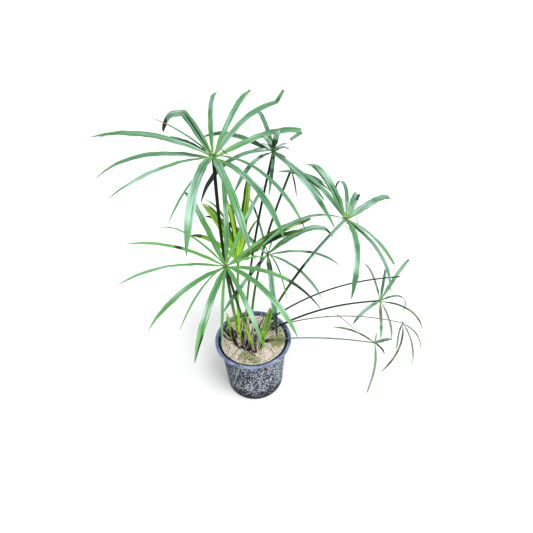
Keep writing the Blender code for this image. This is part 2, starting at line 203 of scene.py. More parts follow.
def sedgeLeaf(name, look):
    # A living bract: a thin waxy cuticle over parallel veins, with a pale midrib, a yellow heart end, and
    # straw or near-black brown where it has dried. Its pale streaky bands are a painted sheen; its near-black
    # green stretches, one dark half of the fold and the dark crease line are painted shade.
    material, tree, shader = newMaterial(
        name, IOR=1.45, Specular_IOR_Level=0.28, Coat_Weight=0.05, Coat_Roughness=0.3)
    grid = addNode(tree, "UVMap", uv_map="UVMap")
    place = addNode(tree, "SeparateXYZ", {0: grid.outputs[0]})
    body = addNode(tree, "TexCoord").outputs["Object"]
    traits = {kind: addNode(tree, "Attribute", attribute_name=kind).outputs["Fac"]
              for kind in ("tone", "dark", "dry", "bloom", "keel", "seed")}
    cloud = addNode(tree, "TexNoise", {"Vector": body, "Scale": 1 / (24 * mm), "Detail": 3.0})
    alongRamp = addNode(tree, "ValToRGB", {0: place.outputs[0]}, stops=look["along"])
    cool = addNode(tree, "Mix",
                   {factor: cloud.outputs[0], first: alongRamp.outputs[0], second: linear(look["cool"])},
                   data_type="RGBA")
    share = addNode(tree, "MapRange", {0: cloud.outputs[0], 1: 0.42, 2: 0.66, 3: 0.0, 4: look["coolShare"]})
    tree.links.new(share.outputs[0], cool.inputs[factor])
    # nine veins across a bract carry the relief; coarser streaks run with them, others on each bract
    ribs = addNode(tree, "Math", {0: place.outputs[1], 1: 9 * 2 * math.pi}, operation="MULTIPLY")
    wave = addNode(tree, "Math", {0: ribs.outputs[0]}, operation="SINE")
    u, v, w = [addNode(tree, "Math", {0: value, 1: pace}, operation="MULTIPLY").outputs[0]
               for value, pace in ((place.outputs[0], 3), (place.outputs[1], 6), (traits["seed"], 40))]
    strand = addNode(tree, "CombineXYZ", {0: u, 1: v, 2: w})
    streaks = addNode(tree, "TexNoise", {"Vector": strand.outputs[0], "Scale": 1.0, "Detail": 2.0})
    veins = addNode(tree, "MapRange", {0: streaks.outputs[0], 1: 0.44, 2: 0.62, 3: 0.0, 4: look["veins"]})
    veined = addNode(tree, "Mix",
                     {factor: veins.outputs[0], first: cool.outputs[2], second: linear(look["vein"])},
                     data_type="RGBA")
    middle = addNode(tree, "Math", {0: place.outputs[1], 1: 0.5}, operation="SUBTRACT")
    middle = addNode(tree, "Math", {0: middle.outputs[0]}, operation="ABSOLUTE")
    midrib = addNode(tree, "MapRange",
                     {0: middle.outputs[0], 1: 0.02, 2: 0.07, 3: look["midribShare"], 4: 0.0})
    ribbed = addNode(tree, "Mix",
                     {factor: midrib.outputs[0], first: veined.outputs[2], second: linear(look["midrib"])},
                     data_type="RGBA")
    margin = addNode(tree, "MapRange", {0: middle.outputs[0], 1: 0.38, 2: 0.48, 3: 0.0, 4: look["margin"]})
    edged = addNode(tree, "Mix",
                    {factor: margin.outputs[0], first: ribbed.outputs[2], second: linear(look["vein"])},
                    data_type="RGBA")
    bright = addNode(tree, "MapRange", {0: traits["tone"], 1: 0.0, 2: 1.0, 3: 0.0, 4: 0.7})
    toned = addNode(tree, "Mix",
                    {factor: bright.outputs[0], first: edged.outputs[2], second: linear(look["bright"])},
                    data_type="RGBA")
    dim = addNode(tree, "MapRange", {0: traits["tone"], 1: 0.0, 2: -1.0, 3: 0.0, 4: 0.85})
    shaded = addNode(tree, "Mix",
                     {factor: dim.outputs[0], first: toned.outputs[2], second: linear(look["deep"])},
                     data_type="RGBA")
    # painted sheen: pale streaks mixed in where the sheen attribute is set, standing in for reflections of
    # the light
    between = addNode(tree, "MapRange", {0: streaks.outputs[0], 1: 0.36, 2: 0.6, 3: 1.0, 4: 0.15})
    paintedSheen = addNode(tree, "Math", {0: traits["bloom"], 1: between.outputs[0]}, operation="MULTIPLY")
    withPaintedSheen = addNode(tree, "Mix",
                    {factor: paintedSheen.outputs[0], first: shaded.outputs[2], second: linear(look["paintedSheen"])},
                    data_type="RGBA")
    # painted shade: a dark line along the folded middle, and the near-black stretches
    crease = addNode(tree, "MapRange", {0: middle.outputs[0], 1: 0.05, 2: 0.13, 3: 1.0, 4: 0.0})
    shadow = addNode(tree, "Math", {0: traits["keel"], 1: crease.outputs[0]}, operation="MULTIPLY")
    gloom = addNode(tree, "Math", {0: traits["dark"], 1: shadow.outputs[0]}, operation="MAXIMUM")
    darkened = addNode(tree, "Mix",
                       {factor: gloom.outputs[0], first: withPaintedSheen.outputs[2], second: linear(look["dark"])},
                       data_type="RGBA")
    mottle = addNode(tree, "TexNoise", {"Vector": body, "Scale": 1 / (3 * mm), "Detail": 4.0})
    straw = addNode(tree, "ValToRGB", {0: mottle.outputs[0]}, stops=look["straw"])
    dried = addNode(tree, "Mix",
                    {factor: traits["dry"], first: darkened.outputs[2], second: straw.outputs[0]},
                    data_type="RGBA")
    tree.links.new(dried.outputs[2], shader.inputs["Base Color"])
    worn = addNode(tree, "Math", {0: traits["dry"], 1: traits["dark"]}, operation="MAXIMUM")
    rough = addNode(tree, "MapRange", {0: worn.outputs[0], 3: look["gloss"], 4: 0.85})
    tree.links.new(rough.outputs[0], shader.inputs["Roughness"])
    grain = addNode(tree, "Math", {0: mottle.outputs[0], 1: 0.5}, operation="MULTIPLY")
    relief = addNode(tree, "Math", {0: wave.outputs[0], 1: 0.5, 2: grain.outputs[0]},
                     operation="MULTIPLY_ADD")
    bump = addNode(tree, "Bump", {"Height": relief.outputs[0], "Strength": 0.35, "Distance": 0.15 * mm})
    tree.links.new(bump.outputs[0], shader.inputs["Normal"])
    return material


# leaf colours: the pale sheen colour is a painted sheen and the dark colour a painted shade
leafLook = {
    "along": [(0.0, "#9cb848"), (1.0, "#549a48"), (0.07, "#6cac38"), (0.22, "#4e9048"), (0.6, "#529460")],
    "cool": "#6fa78e", "coolShare": 0.42, "vein": "#1f5230", "veins": 0.6, "margin": 0.65, "paintedSheen": "#c4e4d6",
    "midrib": "#84b878", "midribShare": 0.3, "bright": "#66b43c", "deep": "#1e4a30",
    "dark": "#0c1a12", "straw": [(0.3, "#4c3c2a"), (0.6, "#9c8e70")], "gloss": 0.42,
}
youngLook = dict(
    leafLook, along=[(0.0, "#cade40"), (1.0, "#6a9c2a"), (0.1, "#aae018"), (0.4, "#78cc12"),
                     (0.8, "#58ac10")],
    cool="#aaec18", coolShare=0.5, vein="#184408", veins=0.95, midrib="#d2f060", bright="#bef01e",
    paintedSheen="#dcf0b4", deep="#1d5018", dark="#0e1e08")


def stemSkin(name, look):
    # A sedge culm: smooth waxy skin over lengthwise fibres, pale at the foot and darker above.
    material, tree, shader = newMaterial(name, IOR=1.45, Specular_IOR_Level=0.12)
    body = addNode(tree, "TexCoord").outputs["Object"]
    along = addNode(tree, "Attribute", attribute_name="along").outputs["Fac"]
    long = addNode(tree, "Mapping", {"Vector": body, "Scale": (1, 1, 0.06)})
    streaks = addNode(tree, "TexNoise", {"Vector": long.outputs[0], "Scale": 1 / (0.9 * mm), "Detail": 2.0})
    patches = addNode(tree, "TexNoise", {"Vector": body, "Scale": 1 / (14 * mm), "Detail": 3.0})
    moved = addNode(tree, "Math", {0: patches.outputs[0], 1: 0.24, 2: along}, operation="MULTIPLY_ADD")
    moved = addNode(tree, "Math", {0: moved.outputs[0], 1: 0.12}, operation="SUBTRACT")
    ramp = addNode(tree, "ValToRGB", {0: moved.outputs[0]}, stops=look["along"])
    share = addNode(tree, "MapRange", {0: streaks.outputs[0], 1: 0.45, 2: 0.7, 3: 0.0, 4: 0.55})
    lined = addNode(tree, "Mix",
                    {factor: share.outputs[0], first: ramp.outputs[0], second: linear(look["streak"])},
                    data_type="RGBA")
    tree.links.new(lined.outputs[2], shader.inputs["Base Color"])
    rough = addNode(tree, "MapRange",
                    {0: patches.outputs[0], 3: look["gloss"] - 0.08, 4: look["gloss"] + 0.12})
    tree.links.new(rough.outputs[0], shader.inputs["Roughness"])
    bump = addNode(tree, "Bump", {"Height": streaks.outputs[0], "Strength": 0.4, "Distance": 0.2 * mm})
    tree.links.new(bump.outputs[0], shader.inputs["Normal"])
    return material


def culmLook(streak, gloss, foot, tip, *stops):  # each stop: how far up the culm, and its colour
    return {"streak": streak, "gloss": gloss, "along": [(0.0, foot), (1.0, tip), *stops]}


stemLooks = {
    "darkCulm": culmLook("#0e1c08", 0.5, "#b4d438", "#081404", (0.12, "#84b828"), (0.3, "#4a8820"),
                         (0.46, "#1c3a0c")),
    "brightCulm": culmLook("#1a380e", 0.5, "#b8dc38", "#16280e", (0.3, "#90cc28"), (0.45, "#4c8a22"),
                           (0.6, "#203c10")),
    "youngCulm": culmLook("#2c640a", 0.5, "#d8ec50", "#549a1c", (0.25, "#b0ec28"), (0.6, "#84cc20")),
    "rightCulm": culmLook("#1a3012", 0.5, "#8fb838", "#8cc8a4", (0.3, "#446e24"), (0.62, "#182a0e"),
                          (0.72, "#76b08c")),
    "oliveCulm": culmLook("#12280e", 0.5, "#8cb038", "#24501c", (0.2, "#3f7024"), (0.6, "#1f4416")),
    "duskyCulm": culmLook("#081006", 0.6, "#2c461b", "#2f5a3c", (0.2, "#12240e"), (0.6, "#142a1a")),
    "greyCulm": culmLook("#22352a", 0.6, "#4c6044", "#4c6c5a", (0.3, "#62806e")),
    "paleCulm": culmLook("#7a9a70", 0.6, "#c4c298", "#a4c4a0", (0.3, "#b0ca9c")),
    "dryCulm": culmLook("#332f22", 0.8, "#4c4a34", "#6a6852", (0.4, "#4a583e")),
    "blackCulm": culmLook("#15110f", 0.8, "#2a241f", "#50423a", (0.5, "#3a2f2b")),
}


def dryHusk(name, pale, deep, edge):
    # Dried sheath tissue: papery and fibrous, with no wax left, so it is dull and streaked.
    material, tree, shader = newMaterial(name, IOR=1.4)
    body = addNode(tree, "TexCoord").outputs["Object"]
    long = addNode(tree, "Mapping", {"Vector": body, "Scale": (1, 1, 0.12)})
    fibres = addNode(tree, "TexNoise", {"Vector": long.outputs[0], "Scale": 1 / (1.3 * mm), "Detail": 5.0})
    spots = addNode(tree, "TexNoise", {"Vector": body, "Scale": 1 / (9 * mm), "Detail": 2.0})
    blend = addNode(tree, "Math", {0: fibres.outputs[0], 1: spots.outputs[0]}, operation="MULTIPLY")
    ramp = addNode(tree, "ValToRGB", {0: blend.outputs[0]}, stops=[(0.16, deep), (0.42, edge), (0.28, pale)])
    tree.links.new(ramp.outputs[0], shader.inputs["Base Color"])
    rough = addNode(tree, "MapRange", {0: fibres.outputs[0], 3: 0.7, 4: 0.95})
    tree.links.new(rough.outputs[0], shader.inputs["Roughness"])
    bump = addNode(tree, "Bump", {"Height": fibres.outputs[0], "Strength": 0.7, "Distance": 0.4 * mm})
    tree.links.new(bump.outputs[0], shader.inputs["Normal"])
    return material


def sandySoil(name):
    # Sand with clay and a little humus, dried hard: matt, grainy, pink-tan, olive where algae grow.
    material, tree, shader = newMaterial(name, IOR=1.45)
    body = addNode(tree, "TexCoord").outputs["Object"]
    moss = addNode(tree, "Attribute", attribute_name="moss").outputs["Fac"]
    grains = addNode(tree, "TexNoise",
                     {"Vector": body, "Scale": 1 / (2.2 * mm), "Detail": 6.0, "Roughness": 0.65})
    clods = addNode(tree, "TexNoise", {"Vector": body, "Scale": 1 / (16 * mm), "Detail": 4.0})
    sand = addNode(tree, "ValToRGB", {0: grains.outputs[0]},
                   stops=[(0.36, "#5c4838"), (0.62, "#ffffff"), (0.45, "#c0ab97"), (0.53, "#eadccd")])
    humus = addNode(tree, "MapRange", {0: clods.outputs[0], 1: 0.52, 2: 0.68, 3: 0.0, 4: 0.5})
    earth = addNode(tree, "Mix",
                    {factor: humus.outputs[0], first: sand.outputs[0], second: linear("#8d7763")},
                    data_type="RGBA")
    algae = addNode(tree, "ValToRGB", {0: grains.outputs[0]},
                    stops=[(0.38, "#465418"), (0.64, "#e6dfb8"), (0.5, "#98a04e")])
    whole = addNode(tree, "Mix", {factor: moss, first: earth.outputs[2], second: algae.outputs[0]},
                    data_type="RGBA")
    tree.links.new(whole.outputs[2], shader.inputs["Base Color"])
    rough = addNode(tree, "MapRange", {0: grains.outputs[0], 3: 0.85, 4: 1.0})
    tree.links.new(rough.outputs[0], shader.inputs["Roughness"])
    bump = addNode(tree, "Bump", {"Height": grains.outputs[0], "Strength": 0.9, "Distance": 0.8 * mm})
    tree.links.new(bump.outputs[0], shader.inputs["Normal"])
    return material


def speckled(name, stops, roughness, size):
    # Small things that were sown by the hundred, each with a shade of its own.
    material, tree, shader = newMaterial(name, IOR=1.5)
    body = addNode(tree, "TexCoord").outputs["Object"]
    shade = addNode(tree, "Attribute", attribute_name="shade").outputs["Fac"]
    fleck = addNode(tree, "TexNoise", {"Vector": body, "Scale": 1 / size, "Detail": 3.0})
    mixed = addNode(tree, "Math", {0: fleck.outputs[0], 1: 0.35, 2: shade}, operation="MULTIPLY_ADD")
    mixed = addNode(tree, "Math", {0: mixed.outputs[0], 1: 0.17}, operation="SUBTRACT")
    ramp = addNode(tree, "ValToRGB", {0: mixed.outputs[0]}, stops=stops)
    tree.links.new(ramp.outputs[0], shader.inputs["Base Color"])
    rough = addNode(tree, "MapRange", {0: fleck.outputs[0], 3: roughness - 0.1, 4: roughness + 0.1})
    tree.links.new(rough.outputs[0], shader.inputs["Roughness"])
    bump = addNode(tree, "Bump", {"Height": fleck.outputs[0], "Strength": 0.4, "Distance": 0.2 * mm})
    tree.links.new(bump.outputs[0], shader.inputs["Normal"])
    return material


def weatheredPolypropylene(name):
    # Moulded black polypropylene, left outdoors: greyed, with a dense crust of lime and dust specks.
    material, tree, shader = newMaterial(name, IOR=1.49, Specular_IOR_Level=0.12)
    body = addNode(tree, "TexCoord").outputs["Object"]
    limeAndPaintedLight = addNode(tree, "Attribute", attribute_name="limeAndPaintedLight").outputs["Fac"]
    bare = addNode(tree, "TexNoise", {"Vector": body, "Scale": 1 / (30 * mm), "Detail": 3.0})
    plastic = addNode(tree, "ValToRGB", {0: bare.outputs[0]}, stops=[(0.3, "#090e18"), (0.7, "#1c2438")])
    fine = addNode(tree, "TexNoise",
                   {"Vector": body, "Scale": 1 / (2.9 * mm), "Detail": 2.5, "Roughness": 0.6})
    # the specks' amount also carries painted light on the lit front right and painted shade low down, under
    # the rim and inside at the front
    amount = addNode(tree, "Math", {0: limeAndPaintedLight, 1: 0.22, 2: fine.outputs[0]}, operation="MULTIPLY_ADD")
    cover = addNode(tree, "MapRange", {0: amount.outputs[0], 1: 0.684, 2: 0.744, 3: 0.0, 4: 0.95})
    lime = addNode(tree, "ValToRGB", {0: fine.outputs[0]}, stops=[(0.42, "#525e78"), (0.64, "#e8effb")])
    whole = addNode(tree, "Mix",
                    {factor: cover.outputs[0], first: plastic.outputs[0], second: lime.outputs[0]},
                    data_type="RGBA")
    tree.links.new(whole.outputs[2], shader.inputs["Base Color"])
    rough = addNode(tree, "MapRange", {0: cover.outputs[0], 3: 0.5, 4: 0.95})
    tree.links.new(rough.outputs[0], shader.inputs["Roughness"])
    bump = addNode(tree, "Bump", {"Height": amount.outputs[0], "Strength": 0.6, "Distance": 0.5 * mm})
    tree.links.new(bump.outputs[0], shader.inputs["Normal"])
    return material


def rimPolypropylene(name):
    # The same plastic where hands and rain keep it clean: a steel-blue bloom, finely scuffed, with a painted
    # highlight palest at the front left and painted shade at the back.
    material, tree, shader = newMaterial(name, IOR=1.49, Specular_IOR_Level=0.35)
    body = addNode(tree, "TexCoord").outputs["Object"]
    paintedRimLight = addNode(tree, "Attribute", attribute_name="paintedRimLight").outputs["Fac"]
    scuff = addNode(tree, "TexNoise", {"Vector": body, "Scale": 1 / (2 * mm), "Detail": 5.0})
    bloom = addNode(tree, "TexNoise", {"Vector": body, "Scale": 1 / (18 * mm), "Detail": 3.0})
    mixed = addNode(tree, "Math", {0: scuff.outputs[0], 1: 0.4, 2: bloom.outputs[0]},
                    operation="MULTIPLY_ADD")
    pale = addNode(tree, "ValToRGB", {0: mixed.outputs[0]},
                   stops=[(0.45, "#4c5a78"), (0.95, "#a3b3d2"), (0.7, "#7688ae")])
    grey = addNode(tree, "ValToRGB", {0: mixed.outputs[0]}, stops=[(0.5, "#2a3446"), (0.85, "#7485a4")])
    # painted highlight and shade: the pale mix at the front left, the grey one at the back
    whole = addNode(tree, "Mix", {factor: paintedRimLight, first: grey.outputs[0], second: pale.outputs[0]},
                    data_type="RGBA")
    tree.links.new(whole.outputs[2], shader.inputs["Base Color"])
    rough = addNode(tree, "MapRange", {0: scuff.outputs[0], 3: 0.4, 4: 0.7})
    tree.links.new(rough.outputs[0], shader.inputs["Roughness"])
    bump = addNode(tree, "Bump", {"Height": scuff.outputs[0], "Strength": 0.25, "Distance": 0.2 * mm})
    tree.links.new(bump.outputs[0], shader.inputs["Normal"])
    return material


waxyLeaf = sedgeLeaf("waxySedgeLeaf", leafLook)
youngLeaf = sedgeLeaf("youngSedgeLeaf", youngLook)
stems = {name: stemSkin(name, look) for name, look in stemLooks.items()}
paleHusk = dryHusk("paleDriedSheath", "#e6d6cc", "#9c8678", "#fdf8f4")
darkHusk = dryHusk("darkDriedSheath", "#2a1e24", "#0e090d", "#75625f")
soilMix = sandySoil("sandySoil")
sandGrains = speckled("sandGrains", [(0.0, "#3a2e26"), (1.0, "#ffffff"), (0.25, "#a68f7a"), (0.5, "#ecdccb")],
                      0.8, 1.5 * mm)
mossLeaf = speckled("mossLeaf", [(0.0, "#3e4c16"), (1.0, "#cecc8c"), (0.5, "#7f9038")], 0.9, 2 * mm)
spikeletScale = speckled("spikeletScale", [(0.0, "#b8ae62"), (1.0, "#f6f2c4"), (0.5, "#dcd692")], 0.7, 1 * mm)
potPlastic = weatheredPolypropylene("weatheredPolypropylene")
rimPlastic = rimPolypropylene("rimPolypropylene")
print("materials made")


# the plain masters that repeated pieces are copied from

blade = {"fine": (44, 8), "coarse": (20, 4), "thickness": 0.55 * mm,
         "section": [(0.0, -0.15), (0.125, -0.085), (0.25, -0.01), (0.375, 0.03)],
         "ripples": ((0.035, 21), (0.02, 47), (0.05, 39)), "wavePace": 34}


def modelBlade(name, rows, columns):  # a folded strip from 0 to 1 along X, one wide
    bpy.ops.object.select_all(action="DESELECT")
    bpy.ops.mesh.primitive_grid_add(x_subdivisions=rows, y_subdivisions=columns, size=1, location=(0.5, 0, 0))
    master = fresh(name)
    with editing():
        for across, lift in blade["section"]:
            if across * columns % 1:  # no row of vertices there
                continue
            pick(master, "verts", lambda vert: abs(abs(vert.co.y) - across) < 0.02)
            bpy.ops.transform.translate(value=(0, 0, lift))
    return master


stemShape = {"fine": (24, 47), "coarse": (8, 5), "groove": 0.93}


def modelStem(name, sides, cuts):  # a finely ridged rod from 0 to 1 along X, of radius 1
    bpy.ops.object.select_all(action="DESELECT")
    bpy.ops.mesh.primitive_cylinder_add(vertices=sides, radius=1, depth=1, location=(0.5, 0, 0),
                                        rotation=(0, math.pi / 2, 0))
    master = fresh(name)
    step = 2 * math.pi / sides
    with editing():
        pick(master, "edges", lambda edge: abs(edge.verts[0].co.x - edge.verts[1].co.x) > 0.5)
        bpy.ops.mesh.subdivide(number_cuts=cuts)
        pick(master, "verts", lambda vert: round(math.atan2(vert.co.z, vert.co.y) / step - 0.5) % 2 == 0)
        resize((1, stemShape["groove"], stemShape["groove"]))
    return master


spikeletShape = {"segments": 8, "rings": 6, "width": 0.36, "height": 0.2, "tipFrom": 0.6}


def modelSpikelet(name):  # a scale-like grain from 0 to 1 along X, with a drawn-out tip
    bpy.ops.object.select_all(action="DESELECT")
    bpy.ops.mesh.primitive_uv_sphere_add(segments=spikeletShape["segments"],
                                         ring_count=spikeletShape["rings"], radius=0.5, location=(0.5, 0, 0),
                                         rotation=(0, math.pi / 2, 0))
    master = fresh(name)
    tipFrom = spikeletShape["tipFrom"]
    with editing():
        bpy.ops.mesh.select_all(action="SELECT")
        resize((1, spikeletShape["width"], spikeletShape["height"]))
        pick(master, "verts", lambda vert: vert.co.x > tipFrom)
        resize((1.15, 0.6, 0.6), (tipFrom, 0, 0))
    return master


bladeMaster = modelBlade("bladeMaster", *blade["fine"])
stripMaster = modelBlade("stripMaster", *blade["coarse"])
stemMaster = modelStem("stemMaster", *stemShape["fine"])
rayMaster = modelStem("rayMaster", *stemShape["coarse"])
spikeletMaster = modelSpikelet("spikeletMaster")
print("masters modelled")


# bracts

bractSetup = {
    "steps": 32, "start": 4.8 * mm, "inner": 1.2 * mm, "tierHeight": 2.6 * mm,
    "footWidth": 0.3, "footLength": 0.22, "taperFrom": 0.7, "tipWidth": 0.07,
    "rollWobble": 9, "climbWobble": 1.6,
}


def bract(azimuth, rise, droop, length, width, sweep, tier, **traits):
    # azimuth 0 is +X and 90 is +Y; angles in degrees, length and width in millimetres
    return dict(azimuth=azimuth, rise=rise, droop=droop, length=length * mm, width=width * mm,
                sweep=sweep, tier=tier, **traits)


def bractPath(name, hub, lie, start):
    steps = bractSetup["steps"]
    place = hub + around(start, math.radians(lie["azimuth"]), (lie["tier"] - 1) * bractSetup["tierHeight"])
    chance = random.Random(name)
    phase, pace = chance.uniform(*anyTurn), chance.uniform(6, 10)
    points = [place.copy()]
    for i in range(steps):
        along = (i + 0.5) / steps
        climb = lie["rise"] - lie["droop"] * along ** 1.5
        climb += bractSetup["climbWobble"] * math.sin(phase + pace * along) * along
        turn = lie["azimuth"] + lie["sweep"] * along
        for where, lift, swing, over in lie.get("folds", ()):
            bent = ease((along - where) / over + 0.5)
            climb += lift * bent
            turn += swing * bent
        place = place + lie["length"] / steps * heading(math.radians(turn), math.radians(climb))
        points.append(place.copy())
    return points


def bractWidth(along, tip, taperFrom):
    foot = bractSetup["footWidth"]
    opening = foot + (1 - foot) * ease(along / bractSetup["footLength"])
    past = max(0, (along - taperFrom) / (1 - taperFrom))
    return opening * (1 - (1 - tip) * past ** 1.8)


def between(along, ranges, edge=0.03):  # the stated amount inside each stretch, with soft ends
    inside = 0
    for start, end, amount in ranges:
        inside = max(inside, amount * ease((along - start) / edge + 0.5) * ease((end - along) / edge + 0.5))
    return inside


def layBlade(name, points, width, traits, material, rolls=None, master=bladeMaster):
    obj = copyOf(master, name)
    chance = random.Random(name + "edge")
    phases = [chance.uniform(*anyTurn) for _ in range(4)]
    tone, nick, wave = traits.get("tone", 0), traits.get("nick"), traits.get("wave", 0)
    (rimLift, rimPace), (lift, pace), (swell, swellPace) = blade["ripples"]
    for vert in obj.data.vertices:
        along, across = vert.co.x, vert.co.y
        rim = abs(across) * 2
        apart = 2.1 if across > 0 else 0  # the two edges don't wave together
        vert.co.z += rim * rim * wave * math.sin(phases[0] + blade["wavePace"] * along + apart)
        vert.co.z += (rimLift * rim * math.sin(phases[1] + rimPace * along)
                      + lift * math.sin(phases[2] + pace * along))
        vert.co.y *= 1 + swell * rim * math.sin(phases[3] + swellPace * along + across * 3)
        if nick and across * nick[1] > 0.1 and abs(along - nick[0]) < 0.02:
            vert.co.y *= nick[2]
    dark, dry, bloom, keel, edge = (traits.get(kind, ()) for kind in ("dark", "dry", "bloom", "keel", "edge"))
    overall, sheenBaseline = traits.get("dryness", 0), traits.get("sheenBaseline", 0.08)
    # painted shade: one half of the fold painted dark, on the side turned from the light
    oneSide = lambda co: max([between(co.x, [(start, end, 0.95)]) * ease((co.y * side - 0.12) / 0.12)
                              for start, end, side in edge], default=0)
    paint(obj, "tone", lambda co: tone + 0.12 * math.sin(phases[0] + 9 * co.x) + 0.1 * co.y)
    paint(obj, "seed", lambda co: phases[3] / anyTurn[1])
    # painted shade: near-black stretches where a bract turns its underside into shadow
    paint(obj, "dark", lambda co: max(between(co.x, dark), oneSide(co)))
    # painted sheen: a faint pale haze over the whole bract, stronger in the listed stretches
    paint(obj, "bloom", lambda co: sheenBaseline + (1 - sheenBaseline) * between(co.x, bloom, 0.12))
    # painted shadow along the crease
    paint(obj, "keel", lambda co: between(co.x, keel, 0.08))
    paint(obj, "dry", lambda co: max(overall, between(co.x, dry), 0.8 * ease((co.x - 0.975) / 0.02)))
    last = len(points) - 1
    tip, taperFrom = traits.get("tip", bractSetup["tipWidth"]), traits.get("taper", bractSetup["taperFrom"])
    layAlong(obj, points, [width * bractWidth(i / last, tip, taperFrom) for i in range(last + 1)], rolls)
    obj.data.materials.append(material)
    thicken(obj, blade["thickness"])
    smooth(obj)
    return obj


def growBract(name, hub, lie, start, material, crownTraits):
    points = bractPath(name, hub, lie, start)
    if start:
        away = points[1] - points[0]
        points = [points[0] - away.normalized() * (start - bractSetup["inner"])] + points
    chance = random.Random(name + "roll")
    first, last = lie.get("roll", (chance.uniform(-6, 6), chance.uniform(-14, 14)))
    phase = chance.uniform(*anyTurn)
    count = len(points) - 1
    wobble = bractSetup["rollWobble"]
    rolls = [first + (last - first) * i / count + wobble * math.sin(phase + 7 * i / count) * i / count
             for i in range(count + 1)]
    traits = dict(crownTraits, **lie)
    traits["tone"] = crownTraits.get("tone", 0) + lie.get("tone", 0) + chance.uniform(-0.12, 0.12)
    return layBlade(name, points, lie["width"], traits, material, rolls)


# each bract: azimuth, rise, droop, length, width, sweep and tier, then traits; a stretch is from, to and how
# much, an edge from, to and side, and a fold where, lift, swing and over how long. The sheen stretches are
# painted sheen; the dark stretches, the edges and the crease stretches are painted shade.
topCrown = {
    "a": bract(98, 30, 44, 210, 8, -13, 2, tip=0.5, bloom=[(0.5, 0.7, 0.4)]),
    "b": bract(71, 31, 35, 195, 9.5, 0, 0, tip=0.3, roll=(0, 25), dark=[(0.95, 1.1, 0.8)],
               bloom=[(0.3, 0.5, 0.4)]),
    "c": bract(53, 31, 45, 193, 10, -10, 1, tip=0.5, keel=[(0.05, 0.4, 0.7)], folds=[(0.872, 58, -12, 0.03)],
               dark=[(0.88, 0.93, 0.4)], bloom=[(0.12, 0.5, 0.5)], roll=(10, 35)),
    "d": bract(34, 13, 41, 221, 12, 6, 0, tip=0.6, folds=[(0.876, -9, 148, 0.03)], tone=0.15, roll=(15, 40),
               bloom=[(0.3, 0.5, 0.4), (0.9, 1.1, 0.9)]),
    "e": bract(314, 13, 68, 222, 6, -6, 2, tone=0.15, dark=[(0.94, 1.1, 0.9)]),
    "f": bract(306, 8, 65, 210, 10, -4, 0, bloom=[(0.36, 0.56, 0.6)]),
    "g": bract(283, 11, 52, 235, 12, 6, 1, roll=(0, -16), bloom=[(0.2, 0.42, 0.3), (0.74, 0.98, 0.55)]),
    "j": bract(264, 14, 63, 232, 13, 2, 2, bloom=[(0.42, 0.82, 1)], keel=[(0.1, 0.6, 0.4)]),
    "k": bract(258, 8, 34, 182, 3.4, -6, 0, tone=0.35),
    "l": bract(228, 14, 34, 188, 9, -2, 1, tone=0.1, bloom=[(0.55, 0.85, 0.7)]),
    "m": bract(183, 13, 51, 201, 10.5, 1.2, 0, roll=(-8, -18), bloom=[(0.1, 0.4, 0.4)]),
    "n": bract(184, 29, 42, 188, 12, 0, 2, roll=(-8, -18), nick=(0.9, 1, 1.8), bloom=[(0.1, 0.32, 0.6)]),
    "o": bract(137, 14, 42, 152, 10, -2, 0, tone=-0.1, edge=[(0.1, 0.6, -1)], dark=[(0.85, 1.1, 0.5)],
               bloom=[(0.02, 0.28, 0.5)]),
    "p": bract(137, 19, 21, 158, 4.6, 3, 2, dry=[(0.7, 1.1, 0.8)], tone=0.1),
    "q": bract(127, 38, 57, 202, 12.5, -3.8, 1, tip=0.5, roll=(0, -85), keel=[(0.05, 0.45, 1)],
               folds=[(0.476, -28, 12, 0.03), (0.702, -8, -12, 0.03)], taper=0.85,
               dark=[(0.8, 1.1, 1)], dry=[(0.49, 0.53, 0.5)], bloom=[(0.5, 0.68, 0.6)], tone=-0.1),
}
frontCrown = {
    "a": bract(88, 36, 39, 232, 10, 12, 1, tone=-0.1, bloom=[(0.36, 0.56, 0.9)]),
    "b": bract(119, 31, 42, 230, 12, -6, 0, tip=0.5, tone=0.2, dark=[(0.93, 1.1, 0.9)],
               bloom=[(0.5, 0.75, 0.6)]),
    "c": bract(139, 28, 54, 183, 5, 8, 1, tone=0.4, dark=[(0.8, 1.1, 0.9)]),
    "d": bract(180, 36, 45, 184, 8, 1, 1, dark=[(0.46, 0.53, 0.95)], tone=0.7),
    "e": bract(210, 30, 44, 197, 9, 0, 1, bloom=[(0.4, 0.65, 0.5)]),
    "f": bract(227, 12, 55, 186, 11.5, -2, 0, bloom=[(0.5, 0.62, 0.3)]),
    "g": bract(254, 24, 45, 192, 3.5, -2, 2, dry=[(0.88, 1.1, 0.8)], tone=0.1),
    "h": bract(262, 15, 51, 216, 12, -4, 0, bloom=[(0.54, 0.7, 0.9)], edge=[(0.8, 1.1, 1)],
               keel=[(0.0, 0.8, 0.4)]),
    "i": bract(272, 20, 56, 198, 4.8, -1, 1),
    "j": bract(287, 15, 51, 205, 8, 6, 2, bloom=[(0.6, 0.8, 0.75)]),
    "k": bract(311, 16, 68, 206, 10, -4, 1, bloom=[(0.62, 0.8, 0.4)]),
    "l": bract(334, 18, 72, 204, 9.5, -3, 0, taper=0.4, dark=[(0.62, 1.1, 0.85)]),
    "m": bract(15, 16, 47, 83, 9, 4, 1, wave=0.12, tone=0.4),
    "n": bract(42, 12, 28, 109, 8.5, 14, 0, tone=0.3),
    "o": bract(65, 29, 27, 209, 9.5, 6, 2, tone=0.3, dark=[(0.4, 0.48, 0.8)], bloom=[(0.5, 0.8, 0.6)]),
}
